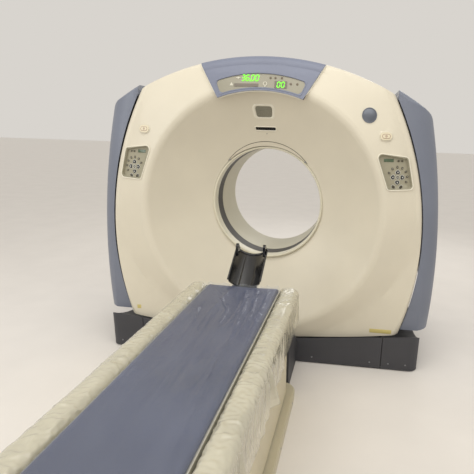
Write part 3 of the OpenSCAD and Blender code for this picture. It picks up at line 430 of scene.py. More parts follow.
class Solids:
    """Thin prisms gathered into one mesh."""

    def __init__(self):
        self.form = bmesh.new()

    def prism(self, outline, back, front, place=Matrix.Identity(4)):
        ends = [[place @ Vector((u, y, w)) for u, w in outline] for y in (back, front)]
        for ring in walls(self.form, ends):
            self.form.faces.new(ring)

    def band(self, outer, inner, back, front, place=Matrix.Identity(4)):
        order = ((outer, back), (outer, front), (inner, front), (inner, back))
        walls(self.form, [[place @ Vector((u, y, w)) for u, w in line] for line, y in order], closed=True)

    def piece(self, name, body, slot, finish, bevel=0.0):
        bmesh.ops.recalc_face_normals(self.form, faces=self.form.faces)
        thing = formed(name, self.form, finish)
        if bevel:
            bevelled(thing, bevel)
        return carried(smoothed(thing), body)


print("face at the display:", round(face_y(0, 1.75), 3), "at the keypads:", round(face_y(0.805, 1.266), 3))

# %% [markdown]
# ## Display
# Behind the grey-beige window lie number displays with lit green segments, unlit lamps and small
# printed signs. Seven-segment digits follow a rule: each number lights some of seven bars, so one
# function draws any of them. A bar is a hexagon, and the whole digit leans a little.

# %% Display digits and signs
SEGMENTS = {"0": "abcdef", "3": "abcdg", "6": "acdefg"}
BARS = {"a": (0, 1, 0), "g": (0, 0, 0), "d": (0, -1, 0), "b": (1, 0.5, 1), "c": (1, -0.5, 1),
        "f": (-1, 0.5, 1), "e": (-1, -0.5, 1)}
DIGIT_LEAN = 0.12
WINDOW_OUT = 0.0112
UPPER_Z = 1.757
SUNK = 0.0002
lit_green = glowing("lit_segments", rgb(120, 255, 30), 1.5)
sign_print = moulded("sign_print", rgb(206, 202, 184), 0.5)
lamp_dark = moulded("unlit_lamp", rgb(104, 92, 74), 0.35)
strip_dark = moulded("display_strip", rgb(112, 104, 92), 0.3)


def digit(solids, sign, x, z, height):
    half_h, half_w, bar = height / 2, height * 0.26, height * 0.075
    place = on_face(x, z, WINDOW_OUT)
    for key in SEGMENTS[sign]:
        across, up, upright = BARS[key]
        length = (half_h if upright else half_w * 2) / 2 - bar * 0.4
        tip = length - bar
        outline = []
        for u, w in ((-length, 0), (-tip, bar), (tip, bar), (length, 0), (tip, -bar), (-tip, -bar)):
            u, w = (-w, u) if upright else (u, w)
            u, w = u + across * half_w, w + up * half_h
            outline.append((u + DIGIT_LEAN * w, w))
        solids.prism(outline, SUNK, -0.0006, place)


digits = Solids()
for sign, x in zip("3600", (-0.098, -0.073, -0.043, -0.018)):
    digit(digits, sign, x, UPPER_Z, 0.032)
digits.prism(oval(0, -0.017, 0.003, 0.003, 12), SUNK, -0.0006, on_face(-0.0575, UPPER_Z, WINDOW_OUT))
for x in (0.106, 0.13):
    digit(digits, "0", x, 1.723, 0.03)
digits.piece("display_digits", "gantry", "display_panel", lit_green)

signs = Solids()
for outline, x, z, out in (([(-0.011, -0.008), (0.011, -0.008), (0, 0.011)], -0.166, 1.722, 0),
                           (disc(0.006), -0.128, UPPER_Z, 0),
                           (oblong(0.013, 0.002), -0.128, UPPER_Z, 0.0003),
                           ([(u, w - 0.007) for u, w in oblong(0.003, 0.007)], 0.029, 1.722, 0)):
    signs.prism(outline, SUNK, -0.0004, on_face(x, z, WINDOW_OUT + out))
signs.band(disc(0.012), disc(0.008), SUNK, -0.0004, on_face(0.029, 1.727, WINDOW_OUT))
signs.piece("display_signs", "gantry", "display_panel", sign_print)

lamps = Solids()
for x, z in ((0.058, 1.759), (0.086, 1.759), (0.122, 1.759), (0.174, 1.728), (0.211, 1.728)):
    lamps.prism(disc(0.0065, 20), SUNK, -0.0005, on_face(x, z, WINDOW_OUT))
lamps.piece("display_lamps", "gantry", "display_panel", lamp_dark, 0.0003)
strips = Solids()
for half_x, half_z, corner, x, z, out in ((0.07, 0.0085, 0.003, -0.08, 1.718, 0),
                                          (0.036, 0.02, 0.004, 0.118, 1.723, -0.0002)):
    strips.prism(rounded(oblong(half_x, half_z), corner), 0.0003, -0.0002, on_face(x, z, WINDOW_OUT + out))
strips.piece("display_strips", "gantry", "display_panel", strip_dark)
print("display: 6 digits, 4 signs, 5 lamps")

# %% [markdown]
# ## Beads along the covers' edges
# Where the cream cover meets the display housing, the keypads and the windows, its edge is turned
# outwards into a lip, given a colour lighter than the cover's own as a painted highlight. A lip follows
# a path, so Geometry Nodes sweep a round section along it: mesh edges become a curve, the curve a
# tube. The radius is a named input, set by its identifier.

# %% Bead tree
def socket_id(tree, name):
    return next(s.identifier for s in tree.interface.items_tree if getattr(s, "name", "") == name)


class Tree:
    """A Geometry Nodes tree: a Geometry input and output, and further named inputs."""

    def __init__(self, name, **inputs):
        self.group = bpy.data.node_groups.new(name, "GeometryNodeTree")
        for key, kind in {"Geometry": "Geometry", **inputs}.items():
            self.group.interface.new_socket(key, in_out="INPUT", socket_type="NodeSocket" + kind)
        self.group.interface.new_socket("Geometry", in_out="OUTPUT", socket_type="NodeSocketGeometry")
        self.given = self.node("NodeGroupInput").outputs
        self.sink = self.node("NodeGroupOutput")

    def node(self, kind):
        return self.group.nodes.new(kind)

    def join(self, *pairs):
        for output, socket in pairs:
            self.group.links.new(output, socket)

    def finished(self, geometry):
        """Ends the tree: real geometry, in the finish that is given."""
        realize = self.node("GeometryNodeRealizeInstances")
        paint = self.node("GeometryNodeSetMaterial")
        self.join((geometry, realize.inputs[0]), (realize.outputs[0], paint.inputs[0]),
                  (self.given["Finish"], paint.inputs["Material"]), (paint.outputs[0], self.sink.inputs[0]))
        return self.group


def run_through(thing, tree, **inputs):
    """The object as the tree makes it, with its named inputs set, as one plain mesh."""
    made = thing.modifiers.new(tree.name, "NODES")
    made.node_group = tree
    for key, value in inputs.items():
        made[socket_id(tree, key)] = value
    return baked(thing)


def bead_tree():
    tree = Tree("bead_along_edges", Radius="Float", Finish="Material")
    path = tree.node("GeometryNodeMeshToCurve")
    section = tree.node("GeometryNodeCurvePrimitiveCircle")
    section.inputs["Resolution"].default_value = 12
    sweep = tree.node("GeometryNodeCurveToMesh")
    sweep.inputs["Fill Caps"].default_value = True
    smooth = tree.node("GeometryNodeSetShadeSmooth")
    tree.join((tree.given["Geometry"], path.inputs[0]), (path.outputs[0], sweep.inputs["Curve"]),
              (tree.given["Radius"], section.inputs["Radius"]),
              (section.outputs[0], sweep.inputs["Profile Curve"]), (sweep.outputs[0], smooth.inputs[0]))
    return tree.finished(smooth.outputs[0])


BEAD = bead_tree()


def bead(name, paths, radius, finish, body, closed=True):
    """Round beads along lists of points, all in one piece."""
    form = bmesh.new()
    for points in paths:
        verts = [form.verts.new(p) for p in points]
        for a, b in zip(verts, verts[1:] + (verts[:1] if closed else [])):
            form.edges.new((a, b))
    thing = run_through(formed(name, form), BEAD, Radius=radius, Finish=finish)
    return carried(thing, body)


def frame_strip(name, loops, finish, body):
    """A raised frame through closed loops of points, the outer one first."""
    form = bmesh.new()
    walls(form, loops)
    form.normal_update()
    if sum(f.normal.y * f.calc_area() for f in form.faces) > 0:
        bmesh.ops.reverse_faces(form, faces=form.faces)
    thing = formed(name, form, finish)
    thing.data.shade_smooth()
    return carried(thing, body)


def laid_on_face(outline, out):
    """Points of a front view outline, laid on the sloping face."""
    return [Vector((x, face_y(x, z) - out, z)) for x, z in outline]


DISPLAY_LOW_R, DISPLAY_HALF_W, DISPLAY_SLOPE = 0.716, 0.362, 0.61


def display_lip(gap=0.003):
    """Down the housing's right side, along its low arc and up its left side."""
    low = DISPLAY_LOW_R - gap
    line = []
    for k in range(41):
        a = math.radians(90 - 19.5 + 39 * k / 40)
        line.append((low * math.cos(a), RIDGE_Z + low * math.sin(a)))
    corner_x = DISPLAY_HALF_W + 0.0244 + gap * 1.2
    side = [(corner_x + (z - 1.878) * DISPLAY_SLOPE, z) for z in np.linspace(1.83, 1.69, 14)]
    right = [p for p in side if math.hypot(p[0], p[1] - RIDGE_Z) > low + 0.012]
    arc = [p for p in line if abs(p[0]) < right[-1][0] - 0.012]
    return right + arc + [(-x, z) for x, z in reversed(right)]


KEYPAD_CORNERS = [(-0.126, 0.105), (-0.048, -0.102), (0.108, -0.096), (0.066, 0.084)]
KEYPAD_X, KEYPAD_Z, STOP_X, STOP_Z = 0.805, 1.266, 0.727, 1.465


def grown(points, gap):
    middle = sum((Vector(p) for p in points), Vector((0, 0))) / len(points)
    return [tuple(Vector(p) + (Vector(p) - middle).normalized() * gap) for p in points]


# The lips are real raised edges, but their colour is the cover's cream made lighter: a painted highlight.
lip_cream_with_painted_highlight = moulded("lip_cream_with_painted_highlight", rgb(228, 222, 204), 0.3, 0.02)
bead("display_lip", [laid_on_face(display_lip(), 0.0015)], 0.0042, lip_cream_with_painted_highlight, "gantry",
     closed=False)
WINDOW_R, WINDOW_HALF_R, WINDOW_LOW_X, WINDOW_SPREAD = 0.7695, 0.0425, 0.222, 0.457


def window_loop(gap, corner, out):
    """The display window's arched outline, with its corners rounded."""
    half_r = WINDOW_HALF_R + gap
    cu, cv = corner / 0.26, corner / half_r
    square = []
    for turn, (su, sv) in enumerate(((1, 1), (-1, 1), (-1, -1), (1, -1))):
        for a in np.linspace(0, math.pi / 2, 9):
            c, w = (math.cos(a), math.sin(a)) if turn % 2 == 0 else (math.sin(a), math.cos(a))
            square.append((su * (1 - cu + cu * c), sv * (1 - cv + cv * w)))
        if turn % 2 == 0:
            square += [(su * (1 - cu) * t, sv) for t in np.linspace(0.92, -0.92, 24)]
    line = []
    for u, v in square:
        r = WINDOW_R + v * half_r
        z = RIDGE_Z + r
        for _ in range(5):
            x = u * (WINDOW_LOW_X + gap + (z - 1.64) * WINDOW_SPREAD)
            z = RIDGE_Z + math.sqrt(r * r - x * x)
        line.append(Vector((x, face_y(x, z) - out, z)))
    return line


WINDOW_STEPS = ((0.0025, 0.006, 0.0125), (0.0012, 0.009, 0.0152), (-0.002, 0.016, 0.016),
                (-0.005, 0.022, 0.0142), (-0.0062, 0.024, 0.0096))
window_frame = [window_loop(*step) for step in WINDOW_STEPS]
frame_strip("display_frame", window_frame, finishes["display_cover"], "gantry")
# The keypads' lips wear the same lighter colour: a painted highlight along the edge.
for side in SIDES:
    place = mirror_if(side) @ on_face(KEYPAD_X, KEYPAD_Z)
    rim = [place @ Vector((u, -0.0005, w)) for u, w in rounded(grown(KEYPAD_CORNERS, 0.004), 0.024, 8)]
    bead(f"keypad_lip_{side}", [rim], 0.0034, lip_cream_with_painted_highlight, "gantry")
print("bead pieces: 3")

# %% [markdown]
# ## Keypads
# Each keypad is a soft membrane in a recess: domed keys stand a little above it, four of them move as
# arrow keys in a cross, and each key of the cross has a light ring printed round it. The caps, rings,
# arrows and the small number display are prisms in the keypad's own frame, mirrored for the left.

# %% Keypads
KEY_MID = Vector((0.012, -0.028))
KEY_STEP, RING_STEP, FLOOR_DEPTH, CAP_DEPTH, ARROW_DEPTH = 0.029, 0.059, 0.014, 0.012, 0.010
ARROW_KEY = [(-0.011, -0.008), (0.011, -0.008), (0.011, 0.003), (0, 0.013), (-0.011, 0.003)]
ARROW_SIGN = [(-0.0055, -0.002), (0.0055, -0.002), (0, 0.006)]
ARROW_TURNS = {"up": 0, "in": 90, "down": 180, "out": 270}
key_print = moulded("key_print", rgb(206, 206, 196), 0.45)
cap_dark = moulded("membrane_caps", rgb(72, 66, 48), 0.4, 0.08, coat=0.3)
lcd_green = moulded("small_display", rgb(74, 92, 66), 0.25, 0.06, coat=0.5)


def swung(points, turn, shift):
    c, s = math.cos(turn), math.sin(turn)
    return [(u * c + w * s + shift[0], w * c - u * s + shift[1]) for u, w in points]


def stepped(turn, distance):
    """A spot at a distance from the cross's middle, turned from straight up."""
    return KEY_MID + distance * Vector((math.sin(turn), math.cos(turn)))


for side in SIDES:
    place = mirror_if(side) @ on_face(KEYPAD_X, KEYPAD_Z)
    caps, rings, lcd = Solids(), Solids(), Solids()
    cap_ends = (CAP_DEPTH + 0.001, CAP_DEPTH - 0.0022, place)
    for a in (-25, 5, 35, 65, 95, 125, 155):
        a = math.radians(a)
        spot = KEY_MID + RING_STEP * Vector((math.cos(a), math.sin(a)))
        caps.prism(oval(*spot, 0.0078, 0.0062, 28, a), *cap_ends)
        rings.prism(oval(*spot, 0.0018, 0.0018, 12), CAP_DEPTH - 0.002, CAP_DEPTH - 0.0025, place)
    for x in (0.012, 0.034):
        caps.prism(oval(x, 0.066, 0.007, 0.0055, 28), *cap_ends)
    for lean in (math.radians(-40), math.radians(40)):
        spot = KEY_MID + Vector((math.sin(lean) * 0.036, -0.055))
        caps.prism(oval(*spot, 0.011, 0.0085, 28, lean), FLOOR_DEPTH, FLOOR_DEPTH - 0.004, place)
        rings.band(oval(*spot, 0.0135, 0.011, 28, lean), oval(*spot, 0.0115, 0.009, 28, lean),
                   FLOOR_DEPTH + SUNK, FLOOR_DEPTH - 0.0012, place)
    caps.prism(oval(*KEY_MID, 0.009, 0.009), CAP_DEPTH, CAP_DEPTH - 0.0018, place)
    for wide, slim, count, back, front in ((0.0125, 0.0098, 36, FLOOR_DEPTH, CAP_DEPTH - 0.0006),
                                           (0.0052, 0.0034, 24, CAP_DEPTH - 0.0016, CAP_DEPTH - 0.0021)):
        rings.band(oval(*KEY_MID, wide, wide, count), oval(*KEY_MID, slim, slim, count), back, front, place)
    for way, turn in ARROW_TURNS.items():
        a = math.radians(turn)
        spot = stepped(a, KEY_STEP)
        outer, inner = rounded(grown(ARROW_KEY, 0.0042), 0.003), rounded(grown(ARROW_KEY, 0.0012), 0.002)
        rings.band(swung(outer, a, spot), swung(inner, a, spot), FLOOR_DEPTH + SUNK, FLOOR_DEPTH - 0.0008,
                   place)
        arrow = Solids()
        arrow.prism(swung(ARROW_SIGN, a, spot), ARROW_DEPTH + 0.0001, ARROW_DEPTH - 0.0005, place)
        arrow.piece(f"{side}_{way}_arrow", f"{side}_{way}_key_body", "key", key_print)
    pane = [(u - 0.047, w + 0.068) for u, w in oblong(0.03, 0.009)]
    lcd.prism(rounded(pane, 0.002), 0.0126, 0.0119, place)
    caps.piece(f"keypad_caps_{side}", "gantry", "keypad", cap_dark, 0.0008)
    rings.piece(f"keypad_rings_{side}", "gantry", "keypad", key_print)
    lcd.piece(f"keypad_lcd_{side}", "gantry", "keypad", lcd_green, 0.0003)
print("keypads: 2, arrows:", 2 * len(ARROW_TURNS))

# %% [markdown]
# ## Buttons, badge and plates
# Above each keypad an oval button carries a thin printed ring and a round sign; it travels with the
# button's body. At the upper right is a plain round badge with a raised rim, and low on the cover
# lie bare plates. They are blank on purpose: a badge or a plate is a shape here, never a name.

# %% Buttons, badge and plates
ring_red = moulded("ring_print", rgb(138, 84, 72), 0.45, 0.08)
badge_grey = moulded("badge_metal", rgb(104, 108, 116), 0.3, 0.1, metal=0.6)
plate_pale = moulded("blank_plate", rgb(206, 190, 120), 0.4, 0.06)
STOP_TOP = 0.0085
for side in SIDES:
    place = mirror_if(side) @ on_face(STOP_X, STOP_Z, STOP_TOP)
    marks = Solids()
    marks.band(rounded(oblong(0.024, 0.0125), 0.012, 8), rounded(oblong(0.022, 0.0107), 0.0103, 8),
               SUNK, -0.0004, place)
    marks.band(disc(0.0065), disc(0.005), SUNK, -0.0004, place)
    marks.prism(disc(0.0022, 16), SUNK, -0.0004, place)
    marks.piece(f"{side}_stop_marks", f"{side}_stop_button_body", "stop_button", ring_red)

BADGE_X, BADGE_Z, BADGE_R = 0.625, 1.577, 0.043
badge = Solids()
badge.prism(disc(BADGE_R * 0.9, 64), 0.003, -0.0022, on_face(BADGE_X, BADGE_Z))
badge.band(disc(BADGE_R, 64), disc(BADGE_R * 0.88, 64), 0.003, -0.0036, on_face(BADGE_X, BADGE_Z))
badge.piece("round_badge", "gantry", "display_cover", badge_grey, 0.0008)

CORNER_LEAN = math.radians(3.64)


def corner_y(z):
    return -0.424 + z * math.tan(CORNER_LEAN)


plates = Solids()
for x, z, half_w, half_h in ((0.795, 0.252, 0.07, 0.013), (-0.852, 0.289, 0.014, 0.013)):
    lean = Matrix.Translation((x, corner_y(z), z)) @ Matrix.Rotation(-CORNER_LEAN, 4, "X")
    plates.prism(rounded(oblong(half_w, half_h), 0.003), 0.002, -0.0012, lean)
plates.piece("blank_plates", "gantry", "cream_cover", plate_pale, 0.0003)
print("badge at", (BADGE_X, BADGE_Z))

# %% [markdown]
# ## Alignment window and intercom
# In the funnel over the bore sit a mesh-covered window for the alignment lamps and a narrow intercom
# slot. The funnel's wall is an arc, so its depth at any spot comes from the arc's own circle. The
# mesh is a grid of thin wires, made with the same bead tree as the lips.

# %% Alignment window and intercom
ISO_Z = 1.015
FUNNEL_CENTRE, FUNNEL_CURVE = (-0.1944, -1.4881), 1.4


def funnel_y(x, z):
    away = math.hypot(x, z - RIDGE_Z)
    return FUNNEL_CENTRE[1] + math.sqrt(FUNNEL_CURVE ** 2 - (away - FUNNEL_CENTRE[0]) ** 2)


def on_funnel(points, out):
    return [Vector((x, funnel_y(x, z) - out, z)) for x, z in points]


WIRE_STEP, WIRE_IN = 0.0052, -0.0016
wires = []
for z in np.arange(1.556, 1.614, WIRE_STEP):
    half = 0.048 + 0.007 * (z - 1.552) / 0.065
    wires.append(on_funnel([(x, z) for x in np.linspace(-half, half, 9)], WIRE_IN))
for x in np.arange(-0.0468, 0.047, WIRE_STEP):
    wires.append(on_funnel([(x, z) for z in np.linspace(1.556, 1.6125, 6)], WIRE_IN))
bead("alignment_wires", wires, 0.0008, moulded("mesh_wire", rgb(160, 156, 138), 0.4), "gantry",
     closed=False)
slot_lip = rounded([(-0.066, 1.476), (0.066, 1.476), (0.066, 1.5), (-0.066, 1.5)], 0.008, 6)
# The intercom lip and the alignment frame also wear the lighter lip colour: a painted highlight.
bead("intercom_lip", [on_funnel(slot_lip, 0.0)], 0.0036, lip_cream_with_painted_highlight, "gantry")
ALIGNMENT = [(-0.05, 1.552), (0.05, 1.552), (0.057, 1.617), (-0.057, 1.617)]
halo = [on_funnel(rounded(grown(ALIGNMENT, gap), corner, 8), out)
        for gap, corner, out in ((0.017, 0.022, -0.001), (0.012, 0.02, 0.0022), (0.006, 0.018, 0.004),
                                 (0.0, 0.017, 0.003), (-0.004, 0.016, -0.0005), (-0.005, 0.016, -0.004))]
frame_strip("alignment_frame", halo, lip_cream_with_painted_highlight, "gantry")
visor_arc = [(0.3238 * math.cos(a), ISO_Z + 0.072 + 0.3238 * math.sin(a))
             for a in np.linspace(math.radians(37), math.radians(143), 60)]
bead("visor_line", [on_funnel(visor_arc, 0.0008)], 0.0015, cap_dark, "gantry", closed=False)
microphone = Solids()
hole_y = funnel_y(0, 1.459)
microphone.prism(oval(0.004, 1.459, 0.0032, 0.0032, 20), hole_y + 0.002, hole_y - 0.0006)
microphone.piece("intercom_hole", "gantry", "intercom", finishes["intercom"])
print("wires:", len(wires))

# %% [markdown]
# ## Bore ring, scan window and rear liner
# All three are turned about the scan axis: a small profile swept round a circle. That is a rule, so
# one Geometry Nodes tree makes them: it takes a thin wedge of the form, the number of steps and the
# finish, and sets copies of the wedge round the axis. Merged, they are smoother than the frame's facets.

# %% Turned liners
BORE_R, BORE_WALL = 0.352, 0.005


def turned_tree():
    tree = Tree("turned_about_the_bore", Steps="Int", Finish="Material")
    count = tree.node("GeometryNodeMeshLine")
    count.mode = "OFFSET"
    count.inputs["Offset"].default_value = (0, 0, 0)
    index = tree.node("GeometryNodeInputIndex")
    share = tree.node("ShaderNodeMath")
    share.operation = "DIVIDE"
    full = tree.node("ShaderNodeMath")
    full.operation = "MULTIPLY"
    full.inputs[1].default_value = 2 * math.pi
    turn = tree.node("ShaderNodeCombineXYZ")
    spread = tree.node("GeometryNodeInstanceOnPoints")
    tree.join((tree.given["Steps"], count.inputs["Count"]), (index.outputs[0], share.inputs[0]),
              (tree.given["Steps"], share.inputs[1]), (share.outputs[0], full.inputs[0]),
              (full.outputs[0], turn.inputs["Y"]), (count.outputs[0], spread.inputs["Points"]),
              (tree.given["Geometry"], spread.inputs["Instance"]),
              (turn.outputs[0], spread.inputs["Rotation"]))
    return tree.finished(spread.outputs[0])


TURNED = turned_tree()
TURN_STEPS = 192


def turned_piece(name, profile, node, finish):
    """A closed profile of (radius, depth), instanced round the bore's axis as thin wedges and merged."""
    half = math.pi / TURN_STEPS
    form = bmesh.new()
    walls(form, [[(r * math.sin(a), y, r * math.cos(a)) for r, y in profile] for a in (-half, half)])
    thing = run_through(formed(name, form), TURNED, Steps=TURN_STEPS, Finish=finish)
    form = bmesh.new()
    form.from_mesh(thing.data)
    bmesh.ops.remove_doubles(form, verts=form.verts, dist=2e-5)
    bmesh.ops.recalc_face_normals(form, faces=form.faces)
    bmesh.ops.translate(form, verts=form.verts, vec=(0, 0, ISO_Z))
    form.to_mesh(thing.data)
    form.free()
    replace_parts(smoothed(thing), node)
    return carried(thing, body_of[node])


LIP = (0.368 - 0.0004 - BORE_R) / 2
ring_profile = [(BORE_R, -0.150), (BORE_R, -0.216 + LIP)]
ring_profile += [(BORE_R + LIP - LIP * math.cos(a), -0.216 + LIP - LIP * math.sin(a))
                 for a in np.linspace(0.15, math.pi - 0.15, 11)]
ring_profile += [(BORE_R + 2 * LIP, -0.216 + LIP), (BORE_R + 2 * LIP, -0.150)]
turned_piece("bore_ring.shown", ring_profile, "bore_ring", finishes["bore_trim"])
window_profile = [(BORE_R + 0.001, -0.1498), (BORE_R + 0.001, -0.0402), (BORE_R + 0.006, -0.0402),
                  (BORE_R + 0.006, -0.1498)]
turned_piece("scan_window.shown", window_profile, "scan_window", finishes["bore_window"])
flare = [(BORE_R, 0.290), (BORE_R + 0.002, 0.302), (BORE_R + 0.008, 0.315)]
liner_profile = [(BORE_R, -0.038), (BORE_R + 0.0008, -0.04), *flare, (0.497, 0.553), (0.5, 0.555),
                 (0.505, 0.555), (BORE_R + BORE_WALL + 0.005, 0.312), (BORE_R + BORE_WALL, 0.297),
                 (BORE_R + BORE_WALL, -0.04)]
turned_piece("rear_bore_liner.shown", liner_profile, "rear_bore_liner", finishes["bore_liner"])
print("turned pieces: 3 in", TURN_STEPS, "steps")

# %% [markdown]
# ## Screws
# Covers are held by recessed screws. A Geometry Nodes tree puts one head on each point of a small
# mesh and turns it to the point's own direction, held in an attribute. The head is a low dome with a
# six-sided recess, about a hundred faces, so that many of them cost little.

# %% Screw heads
def screw_head(radius=0.0045, height=0.0016, count=24):
    form = bmesh.new()
    loops = []
    for r, z, corner in ((radius, -0.001, 1), (radius, height * 0.4, 1), (radius * 0.86, height, 1),
                         (radius * 0.5, height, 4), (radius * 0.5, height * 0.2, 4)):
        turns = [2 * math.pi * (k - k % corner) / count for k in range(count)]
        loops.append([(r * math.cos(a), r * math.sin(a), z) for a in turns])
    rings = walls(form, loops)
    form.faces.new(rings[-1])
    form.faces.new(reversed(rings[0]))
    bmesh.ops.remove_doubles(form, verts=form.verts, dist=1e-6)
    bmesh.ops.dissolve_degenerate(form, edges=form.edges, dist=1e-6)
    bmesh.ops.recalc_face_normals(form, faces=form.faces)
    return formed("screw_head", form)


def screw_tree():
    tree = Tree("screws_on_points", Head="Object", Size="Float", Finish="Material")
    head = tree.node("GeometryNodeObjectInfo")
    facing = tree.node("GeometryNodeInputNamedAttribute")
    facing.data_type = "FLOAT_VECTOR"
    facing.inputs["Name"].default_value = "facing"
    align = tree.node("FunctionNodeAlignEulerToVector")
    align.axis = "Z"
    spread = tree.node("GeometryNodeInstanceOnPoints")
    tree.join((tree.given["Head"], head.inputs["Object"]), (tree.given["Geometry"], spread.inputs["Points"]),
              (head.outputs["Geometry"], spread.inputs["Instance"]),
              (facing.outputs["Attribute"], align.inputs["Vector"]),
              (align.outputs[0], spread.inputs["Rotation"]), (tree.given["Size"], spread.inputs["Scale"]))
    return tree.finished(spread.outputs[0])


HEAD, SCREWS = screw_head(), screw_tree()


def screws(name, spots, body, finish, size=1.0):
    """Screw heads at (point, direction) pairs."""
    mesh = bpy.data.meshes.new(name)
    mesh.from_pydata([tuple(p) for p, _ in spots], [], [])
    facing = mesh.attributes.new("facing", "FLOAT_VECTOR", "POINT")
    facing.data.foreach_set("vector", [c for _, d in spots for c in d])
    thing = run_through(as_object(name, mesh), SCREWS, Head=HEAD, Size=size, Finish=finish)
    return carried(smoothed(thing), body)


screw_steel = brushed("screw_steel", rgb(150, 152, 156), 0.3)
front_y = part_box("base_front_cover")[0].y
plinth_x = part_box("table_plinth")[1].x
skirt_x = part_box("upper_skirt")[1].x
rear_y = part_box("rear_cover")[1].y
BOTH = (1, -1)
base_spots = [((s * x, front_y, 0.045), (0, -1, 0)) for s in BOTH for x in (0.36, 0.74, 0.86, 0.97)]
plinth_spots = [((s * plinth_x, y, 0.03), (s, 0, 0)) for s in BOTH for y in np.arange(-2.5, -0.95, 0.38)]
skirt_spots = [((s * skirt_x, y, 0.46), (s, 0, 0)) for s in BOTH for y in np.arange(-2.4, -1.0, 0.34)]
rear_turns = np.linspace(math.radians(-40), math.radians(220), 9)
rear_spots = [((0.57 * math.cos(a), rear_y, ISO_Z + 0.57 * math.sin(a)), (0, 1, 0)) for a in rear_turns]
visor_spots = [((s * 0.246, funnel_y(0.246, 1.292) - 0.0045, 1.292), (0, -1, 0)) for s in BOTH]
side_spots = [((s * 1.1165, y, 0.62), (s, 0, 0)) for s in BOTH for y in (0.1, 0.3)]
screws("base_screws", base_spots, "base", screw_steel, 1.2)
screws("plinth_screws", plinth_spots, "base", screw_steel, 1.1)
screws("skirt_screws", skirt_spots, "table_top", screw_steel)
screws("rear_screws", rear_spots, "gantry", screw_steel, 1.4)
screws("visor_screws", visor_spots, "gantry", screw_steel, 1.1)
screws("side_screws", side_spots, "gantry", screw_steel, 1.2)
bpy.data.objects.remove(HEAD)
all_spots = base_spots + plinth_spots + skirt_spots + rear_spots + visor_spots + side_spots
print("screws:", len(all_spots))

# %% [markdown]
# ## Head holder's rim
# The trough is a thin shell; a rounded rim runs up one side, round the far end and down the other.
# It is one bead along a path in the holder's own leaning frame.

# %% Head holder's rim
HOLDER = Matrix.Translation((0, -0.8345, 0.641)) @ Matrix.Rotation(math.radians(33), 4, "X")
HOLDER_L, TROUGH_R, TROUGH_Z, RIM_Z, RIM_R = 0.25, 0.105, 0.1, 0.047, 0.0055


def on_trough(a, y):
    return HOLDER @ Vector((TROUGH_R * math.sin(a), y, TROUGH_Z - TROUGH_R * math.cos(a)))


rim_angle = math.acos((TROUGH_Z - RIM_Z) / TROUGH_R)
rim_path = [on_trough(rim_angle, y) for y in np.linspace(0.012, HOLDER_L - 0.012, 24)]
rim_path += [on_trough(a, HOLDER_L - 0.003) for a in np.linspace(rim_angle, -rim_angle, 32)]
rim_path += [Vector((-p.x, p.y, p.z)) for p in reversed(rim_path[:24])]
bead("holder_rim", [rim_path], RIM_R, finishes["head_holder"], "cradle_body", closed=False)
print("rim length:", round(sum((b - a).length for a, b in zip(rim_path, rim_path[1:])), 3), "m")

# %% [markdown]
# ## Pad
# A thin foam mat in dark blue vinyl lies in the cradle's hollow. Its underside follows the hollow's
# circle and its top dips a little in the middle, with soft edges. It is lofted: one closed section is
# repeated along the length, drawn in at both ends, and given small dents from use.

# %% Pad
pad_low, pad_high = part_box("cradle_pad")
HOLLOW_R, HOLLOW_Z = 0.853, 1.4727
PAD_HALF, PAD_TOP, PAD_DIP = pad_high.x, pad_high.z, 0.005


def hollow_z(x):
    return HOLLOW_Z - math.sqrt(HOLLOW_R ** 2 - x * x) + 0.0006


def pad_top(x):
    edge = max(0.0, (abs(x) - (PAD_HALF - 0.012)) / 0.012)
    return PAD_TOP - PAD_DIP * (1 - (x / PAD_HALF) ** 2) - 0.009 * edge ** 2.2


def wave(x, y, z):
    return noise.noise(Vector((x, y, z)))


def vinyl(name, colour):
    finish = Finish(name)
    finish.feed(Base_Color=finish.ramp(finish.noise(2.3, 5.0), colour, (0.3, 0.88), (0.7, 1.12)),
                Roughness=finish.spread(finish.noise(7, 3.0), 0.3, 0.48))
    leather = finish.node("ShaderNodeTexVoronoi")
    leather.inputs["Scale"].default_value = 420
    finish.join(finish.place, leather.inputs["Vector"])
    finish.feed(Normal=finish.bump(leather.outputs["Distance"], 0.0002, 0.25))
    return finish.set(Coat_Weight=0.15, Coat_Roughness=0.3).material


def loft(name, sections, finish, body):
    """A closed form through rings of points, capped at both ends."""
    form = bmesh.new()
    rings = walls(form, sections)
    form.faces.new(rings[0])
    form.faces.new(rings[-1])
    bmesh.ops.recalc_face_normals(form, faces=form.faces)
    return carried(smoothed(formed(name, form, finish), math.radians(50)), body)


pad_sections = []
for y in np.linspace(pad_low.y, pad_high.y, 160):
    near_end = max(0.0, 1 - min(y - pad_low.y, pad_high.y - y) / 0.012)
    draw = 0.010 * near_end ** 2
    xs = np.linspace(-PAD_HALF + draw, PAD_HALF - draw, 33)
    dent = [0.0012 * wave(x * 7, y * 3.5, 4.2) for x in xs]
    top = [(x, y, pad_top(x) - 0.5 * draw + d - 0.001) for x, d in zip(xs, dent)]
    under = [(x, y, hollow_z(x) + 0.3 * draw) for x in reversed(xs)]
    side = 0.5 * (top[-1][2] + under[0][2])
    pad_sections.append([*top, (xs[-1] + 0.0004, y, side), *under, (xs[0] - 0.0004, y, side)])
pad = loft("cradle_pad.shown", pad_sections, vinyl("blue_vinyl", rgb(38, 46, 84)), "cradle_body")
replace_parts(pad, "cradle_pad")
print("pad:", round(pad_high.y - pad_low.y, 2), "m long,", round(2 * PAD_HALF, 3), "m wide")

# %% [markdown]
# ## Film on the pad
# A clear film is pulled over the pad and tucked in at its sides. It lies flat at the foot end and
# gathers into long creases towards the head end, with short cross creases along its edges and a few
# deliberate folds. Ridges come from noise: one minus its size, sharpened by a power, gives crests.

